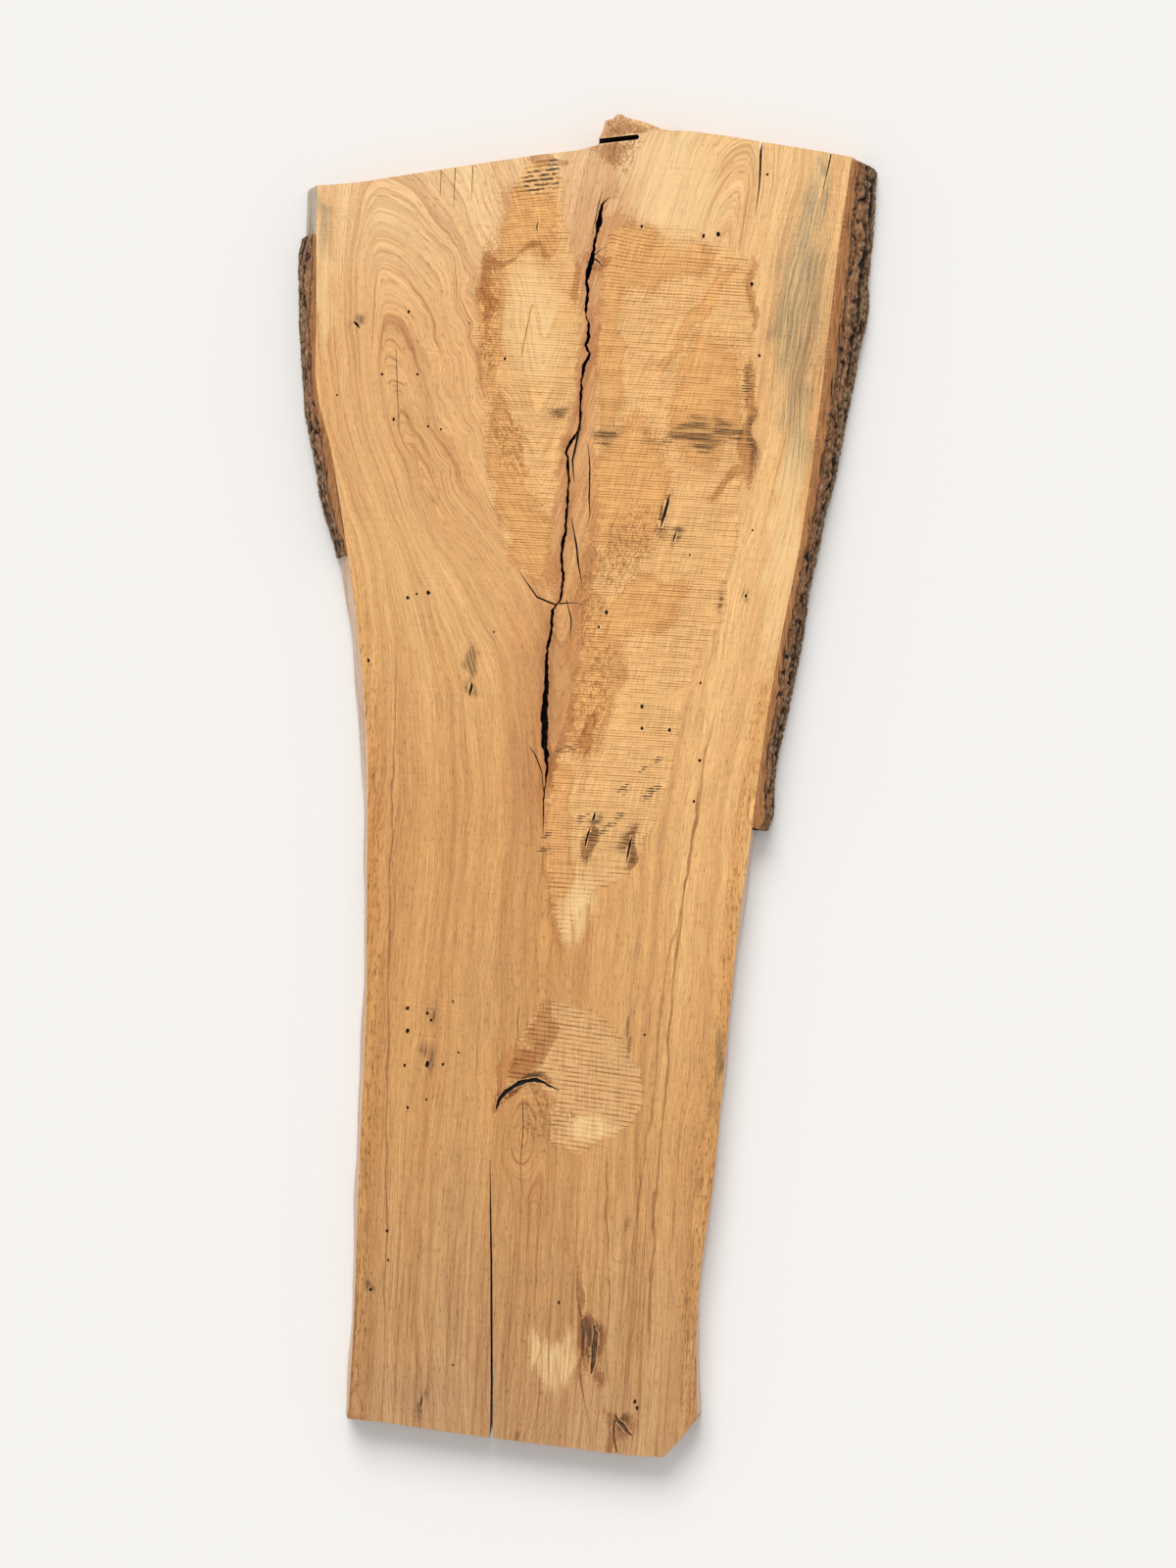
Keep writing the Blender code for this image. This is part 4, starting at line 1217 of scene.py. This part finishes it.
# %% Beside the heart crack, and the veins
beside = calc("ABSOLUTE", minus(x, curve(y, CRACK_LINE)))
crack_reach = product(fit(y, 0.95, 1.10), fit(y, 2.02, 2.12, 1.0, 0.6))
strip = product(fit(beside, 0.02, 0.10, 1.0, 0.0), crack_reach, minus(1.0, rough))
face = tint(product(strip, 0.9), face, (0.88, 0.79, 0.76))
damp = fit(total(beside, fit(sway, 0.2, 0.8, -0.009, 0.009, "LINEAR")), 0.001, 0.018, 1.0, 0.0)
face = tint(product(damp, crack_reach, 0.65), face, (0.68, 0.52, 0.42))

VEINS = (
    (0.0034, 0.62, ((735, 700), (712, 820), (700, 900), (692, 960), (683, 1040), (681, 1092),
                    (673, 1178), (667, 1262), (663, 1345), (661, 1420))),
    (0.0024, 0.45, ((717, 770), (700, 900), (676, 1020), (668, 1110), (651, 1220), (640, 1330),
                    (632, 1440))),
    (0.0026, 0.55, ((404, 640), (402, 760), (398, 900), (396, 1050), (394, 1200), (392, 1400))),
    (0.0026, 0.85, ((590, 1270), (590, 1330), (595, 1365), (592, 1400), (600, 1440), (603, 1475))),
    (0.0022, 0.60, ((620, 1150), (619, 1240), (621, 1320), (618, 1370), (622, 1420), (628, 1446))),
)
wandering = total(x, fit(sway, 0.2, 0.8, -0.004, 0.004, "LINEAR"))
for width, share, pixels in VEINS:
    line = plan(pixels)[::-1]
    start, end = float(line[0, 1]), float(line[-1, 1])
    off = calc("ABSOLUTE", minus(wandering, curve(y, line[:, ::-1])))
    vein = product(fit(off, 0.25 * width, width, share, 0.0),
                   fit(y, start - 0.01, start + 0.12), fit(y, end, end - 0.12))
    face = tint(vein, face, (0.42, 0.24, 0.15))
print(len(VEINS), "veins")

# %% [markdown]
# Each kind of stain has its own colour. The golden ones have a darker rim, like a tide mark. The
# grey, the pale and the dark smudges are drawn out in threads: along the rings on planed wood, and
# along the saw's marks where it is rough.

# %% The stains, the torn wood and the dashes


def stained(kind, share, low_at=0.25, high_at=0.65):
    """Where a kind of stain shows: the value on the mesh, broken up by crumbs, times a share."""
    broken = total(carried(kind), fit(crumble, 0.25, 0.75, -0.25, 0.25, "LINEAR"))
    return fit(broken, low_at, high_at, 0.0, share)


golden = stained("golden", 1.0, 0.15, 0.75)
tide = fit(calc("ABSOLUTE", minus(golden, 0.5)), 0.1, 0.5, 0.42, 0.0)
face = tint(product(golden, 0.55), face, (0.90, 0.74, 0.54))
face = tint(tide, face, (0.66, 0.48, 0.32))
face = tint(stained("brown", 0.75), face, (0.60, 0.43, 0.30))
streaks = noise(stretch(vector(ring, y), 300, 9, 1), 1.0, 3.0, 0.6)
grey = product(stained("grey", 1.0, -0.1, 1.1), fit(streaks, 0.30, 0.66, 0.30, 1.0))
face = tint(grey, face, (0.42, 0.50, 0.64))
threads = blend(rough, streaks, breaks)
smudge = product(stained("smudge", 1.0, 0.0, 1.0), fit(threads, 0.34, 0.60, 0.25, 1.0))
face = tint(smudge, face, (0.27, 0.25, 0.25))
pale = product(stained("pale", 0.7, 0.1, 0.8), fit(streaks, 0.66, 0.40, 0.25, 1.0))
face = blend(pale, face, (0.900, 0.625, 0.300))
face = tint(stained("dull", 0.7, 0.0, 1.0), face, (0.91, 0.93, 1.00))
torn_place = fit(carried("torn"), 0.1, 0.7)
flakes = noise(stretch(place, 130, 75, 1), 1.0, 3.0, 0.6)
face = tint(product(torn_place, fit(flakes, 0.50, 0.62, 0.0, 0.6)), face, (0.54, 0.39, 0.25))
torn = product(fit(crumble, 0.55, 0.66), torn_place)
face = blend(product(torn, 0.55), face, (0.240, 0.125, 0.048))
chips = fit(noise(stretch(place, 75, 230, 1), 1.0, 1.0, 0.5), 0.40, 0.56, 0.3, 1.0)
dash = product(carried("dash"), fit(ridge, 0.8, -0.5), chips)
dash = fit(dash, 0.25, 0.55)
face = blend(product(dash, 0.90), face, (0.060, 0.034, 0.018))
print("nodes with the stains", len(tree.nodes))

# %% [markdown]
# The bare sides are paler and pink where the bark came off, with streaks along the trunk, and silver
# grey at the weathered corner of the fork. The sawn ends show the same rings as the face, darker,
# under the chainsaw's upright scratches, and the underside is planed like the upper face. Inside the
# cuts the colour is painted shade: the cuts' own points carry their share of it, and a through cut
# gets it by depth, so the colour falls to nearly black inside a crack, whatever its width, and stays
# brown inside the two bark pockets.

# %% The sides, and the painted shade inside the cracks
weather = noise(stretch(place, 70, 5, 130), 1.0, 4.0, 0.65, "3D")
bare = colours(weather, (0.30, (0.40, 0.23, 0.13)), (0.50, (0.64, 0.45, 0.32)),
               (0.68, (0.74, 0.58, 0.46)))
silver = colours(weather, (0.34, (0.14, 0.10, 0.07)), (0.50, (0.40, 0.34, 0.26)),
                 (0.66, (0.54, 0.47, 0.38)))
corner = product(fit(y, 1.88, 1.96), fit(x, -0.40, -0.44))
scratches = noise(stretch(place, 260, 60, 12), 1.0, 3.0, 0.6, "3D")
end_wood = tint(fit(scratches, 0.35, 0.65), clear_wood, (0.62, 0.48, 0.36))
end_wood = tint(1.0, end_wood, (0.84, 0.76, 0.66))
side = blend(carried("end"), bare, end_wood)
side = blend(product(corner, 0.85), side, silver)
side = blend(carried("under"), side, clear_wood)
on_side = product(fit(z, 0.0004, 0.0020), fit(edge, 0.0015, 0.0003))
face = blend(on_side, face, side)
# Painted shade inside the cuts: deep inside a through cut, away from the bark pockets, depth paints it,
# and where the cuts' own share is higher, that share counts.
by_pockets = product(fit(y, 0.19, 0.17), fit(x, 0.08, 0.10))
deep_shade = product(fit(z, 0.0010, 0.0040), fit(edge, 0.002, 0.004), minus(1.0, by_pockets))
hollow_shade = calc("MAXIMUM", cut_shade, deep_shade)
# Inside a cut the colour runs from brown at the lip through painted shade to nearly black.
torn_wood_and_shade = colours(hollow_shade, (0.0, (0.60, 0.40, 0.24)), (0.10, (0.34, 0.18, 0.09)),
                    (0.45, (0.045, 0.024, 0.014)), (1.0, (0.014, 0.009, 0.007)))
strands = fit(noise(stretch(place, 520, 70, 60), 1.0, 3.0, 0.6, "3D"), 0.35, 0.65)
torn_wood_and_shade = tint(strands, torn_wood_and_shade, (0.30, 0.24, 0.20))
face = blend(fit(hollow_shade, 0.0, 0.10), face, torn_wood_and_shade)
feed(shader.inputs["Base Color"], face)
print("nodes with the sides and the cracks", len(tree.nodes))

# %% [markdown]
# Planed wood has a slight sheen, and sawn wood has less. Pores, fibres and flakes are too fine for
# the mesh, so a bump shows them.

# %% The wood's sheen and its small relief
feed(shader.inputs["Roughness"], fit(rough, 0.0, 1.0, 0.56, 0.80))
height = total(
    product(fibre, 0.10), product(pores, -0.35), product(late, -0.12),
    product(rough, crumble, 0.9), product(torn, -1.2),
)
feed(shader.inputs["Normal"], add("Bump", 0.7, 0.0004, None, height))
slab.data.materials.clear()
slab.data.materials.append(wood)
print(wood.name, "has", len(tree.nodes), "nodes")

# %% [markdown]
# Bark has two finishes on one strip. Where the saw went through, the inner bark is smooth, orange and
# brown, with slits that follow the trunk. Outside, the ridges are grey and weathered, and the furrows
# are nearly black, partly their own darker bark and partly painted shade. The mesh carries the height
# of the relief and the place across the sawn band, so the colour always follows the shape.

# %% The bark's rough side
bark, tree, shader = finish_of("pecan_bark", 0.9, 0.25)
place = plan_place()
x, y, z = parts(place)
crown, across = carried("crown"), carried("across")
flecks = noise(stretch(place, 210, 75, 160), 1.0, 4.0, 0.65, "3D")
crumbs = fit(flecks, 0.25, 0.75, -0.20, 0.20, "LINEAR")
# Darker down into the furrows, where the crown is low: partly the bark's own colour and partly painted
# shade.
bark_and_furrow_shade = colours(
    total(product(crown, 0.80), crumbs),
    (0.20, (0.010, 0.007, 0.005)), (0.42, (0.040, 0.021, 0.011)), (0.64, (0.155, 0.085, 0.043)),
    (0.88, (0.340, 0.215, 0.120)),
)
fresh = noise(stretch(place, 60, 26, 40), 1.0, 3.0, 0.55, "3D")
fresh = total(fresh, fit(z, 0.002, 0.024, 0.16, -0.10))
rusty = product(fit(fresh, 0.50, 0.58, 0.0, 0.85), fit(crown, 0.12, 0.42))
rust = colours(flecks, (0.34, (0.150, 0.060, 0.026)), (0.52, (0.330, 0.150, 0.066)),
               (0.66, (0.520, 0.300, 0.160)))
bark_and_furrow_shade = blend(rusty, bark_and_furrow_shade, rust)
lichen = product(fit(noise(place, 95.0, 3.0, 0.6, "3D"), 0.60, 0.72, 0.0, 0.4),
                 fit(crown, 0.55, 0.85))
bark_and_furrow_shade = blend(lichen, bark_and_furrow_shade, (0.480, 0.450, 0.390))
print("nodes for the rough bark", len(tree.nodes))

# %% The bark's sawn band
layers = noise(stretch(place, 420, 25, 1), 1.0, 3.0, 0.6)
inner_bark = colours(layers, (0.25, (0.200, 0.075, 0.028)), (0.48, (0.350, 0.150, 0.055)),
                     (0.72, (0.480, 0.235, 0.090)))
chatter = noise(stretch(place, 9, 330, 1), 1.0, 1.0, 0.5)
saw_mark = product(fit(chatter, 0.5, 0.75), fit(across, 0.35, 0.0, 0.0, 0.6))
inner_bark = blend(saw_mark, inner_bark, (0.62, 0.36, 0.18))
slits = noise(stretch(place, 300, 22, 1), 1.0, 2.0, 0.5)
slit = product(fit(slits, 0.60, 0.70), fit(across, 0.25, 0.70))
inner_bark = blend(slit, inner_bark, (0.022, 0.012, 0.008))
rim = fit(total(across, crumbs), 0.72, 1.0)
inner_bark = blend(rim, inner_bark, (0.085, 0.045, 0.026))
sawn = product(fit(z, 0.0012, 0.0002), fit(across, 0.9999, 0.9990, 0.6, 1.0))
feed(shader.inputs["Base Color"], blend(sawn, bark_and_furrow_shade, inner_bark))
height = total(flecks, product(slit, -0.8))
feed(shader.inputs["Normal"], add("Bump", 0.8, 0.0010, None, height))
for strip in (bark_left, bark_right):
    strip.data.materials.clear()
    strip.data.materials.append(bark)
print(bark.name, "has", len(tree.nodes), "nodes")

# %% [markdown]
# The photograph has a nearly white ground and soft light from beyond the fork. A matt floor, one
# wide sun and a pale sky give the same faint shadows. The camera's lens is worked out so that one
# pixel covers 1.63 mm of the upper face.

# %% The floor, the light and the camera
CENTRE = plan([(600, 800)])[0] + FOOT
CAMERA_HEIGHT = 4.2
SENSOR = 24
PHOTO_HEIGHT = 1600
FLOOR_REACH, FLOOR_Z = 9, -0.0004

corners = [(a * FLOOR_REACH, b * FLOOR_REACH, FLOOR_Z) for a, b in ((-1, -1), (1, -1), (1, 1), (-1, 1))]
floor_mesh = bpy.data.meshes.new("floor")
floor_mesh.from_pydata(corners, [], [(0, 1, 2, 3)])
floor = bpy.data.objects.new("floor", floor_mesh)
bpy.context.scene.collection.objects.link(floor)
paper = bpy.data.materials.new("floor_paper")
paper.use_nodes = True
sheet = paper.node_tree.nodes["Principled BSDF"].inputs
sheet["Base Color"].default_value = (0.86, 0.853, 0.845, 1)
sheet["Roughness"].default_value = 0.9
floor_mesh.materials.append(paper)
floor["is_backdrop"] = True

world = bpy.data.worlds.new("studio")
world.use_nodes = True
sky = world.node_tree.nodes["Background"].inputs
sky["Color"].default_value = (1.0, 0.99, 0.975, 1)
sky["Strength"].default_value = 0.62
bpy.context.scene.world = world


def sun(name, azimuth, height, spread, power, colour):
    """A soft sun: where it stands, as degrees round from +Y towards +X and degrees up, and how wide
    its disc is, in degrees."""
    light = bpy.data.lights.new(name, "SUN")
    light.angle = math.radians(spread)
    light.energy = power
    light.color = colour
    thing = bpy.data.objects.new(name, light)
    thing.rotation_euler = (math.radians(90 - height), 0, math.radians(180 - azimuth))
    bpy.context.scene.collection.objects.link(thing)


sun("key", -14, 38, 34, 2.29, (1.0, 0.985, 0.955))

camera = bpy.data.cameras.new("photo_camera")
camera.sensor_fit = "VERTICAL"
camera.sensor_height = SENSOR
camera.lens = SENSOR * (CAMERA_HEIGHT - THICK) / (PHOTO_HEIGHT * PIXEL)
camera_object = bpy.data.objects.new("photo_camera", camera)
camera_object.location = (*CENTRE, CAMERA_HEIGHT)
camera_object.rotation_euler = (0, 0, LEAN)
bpy.context.scene.collection.objects.link(camera_object)
bpy.context.scene.camera = camera_object
bpy.context.scene.view_settings.view_transform = "Standard"
print("camera lens", round(camera.lens, 1), "mm at", camera_object.location)

# %% [markdown]
# Last come the sizes of both models: the surfaces stand out from the solid by a few millimetres.

# %% The visual model's box beside the solid's
boxes = {"cad": cad_box, "visual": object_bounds()}
boxes = {key: [[float(v) for v in corner] for corner in box] for key, box in boxes.items()}
print(boxes)
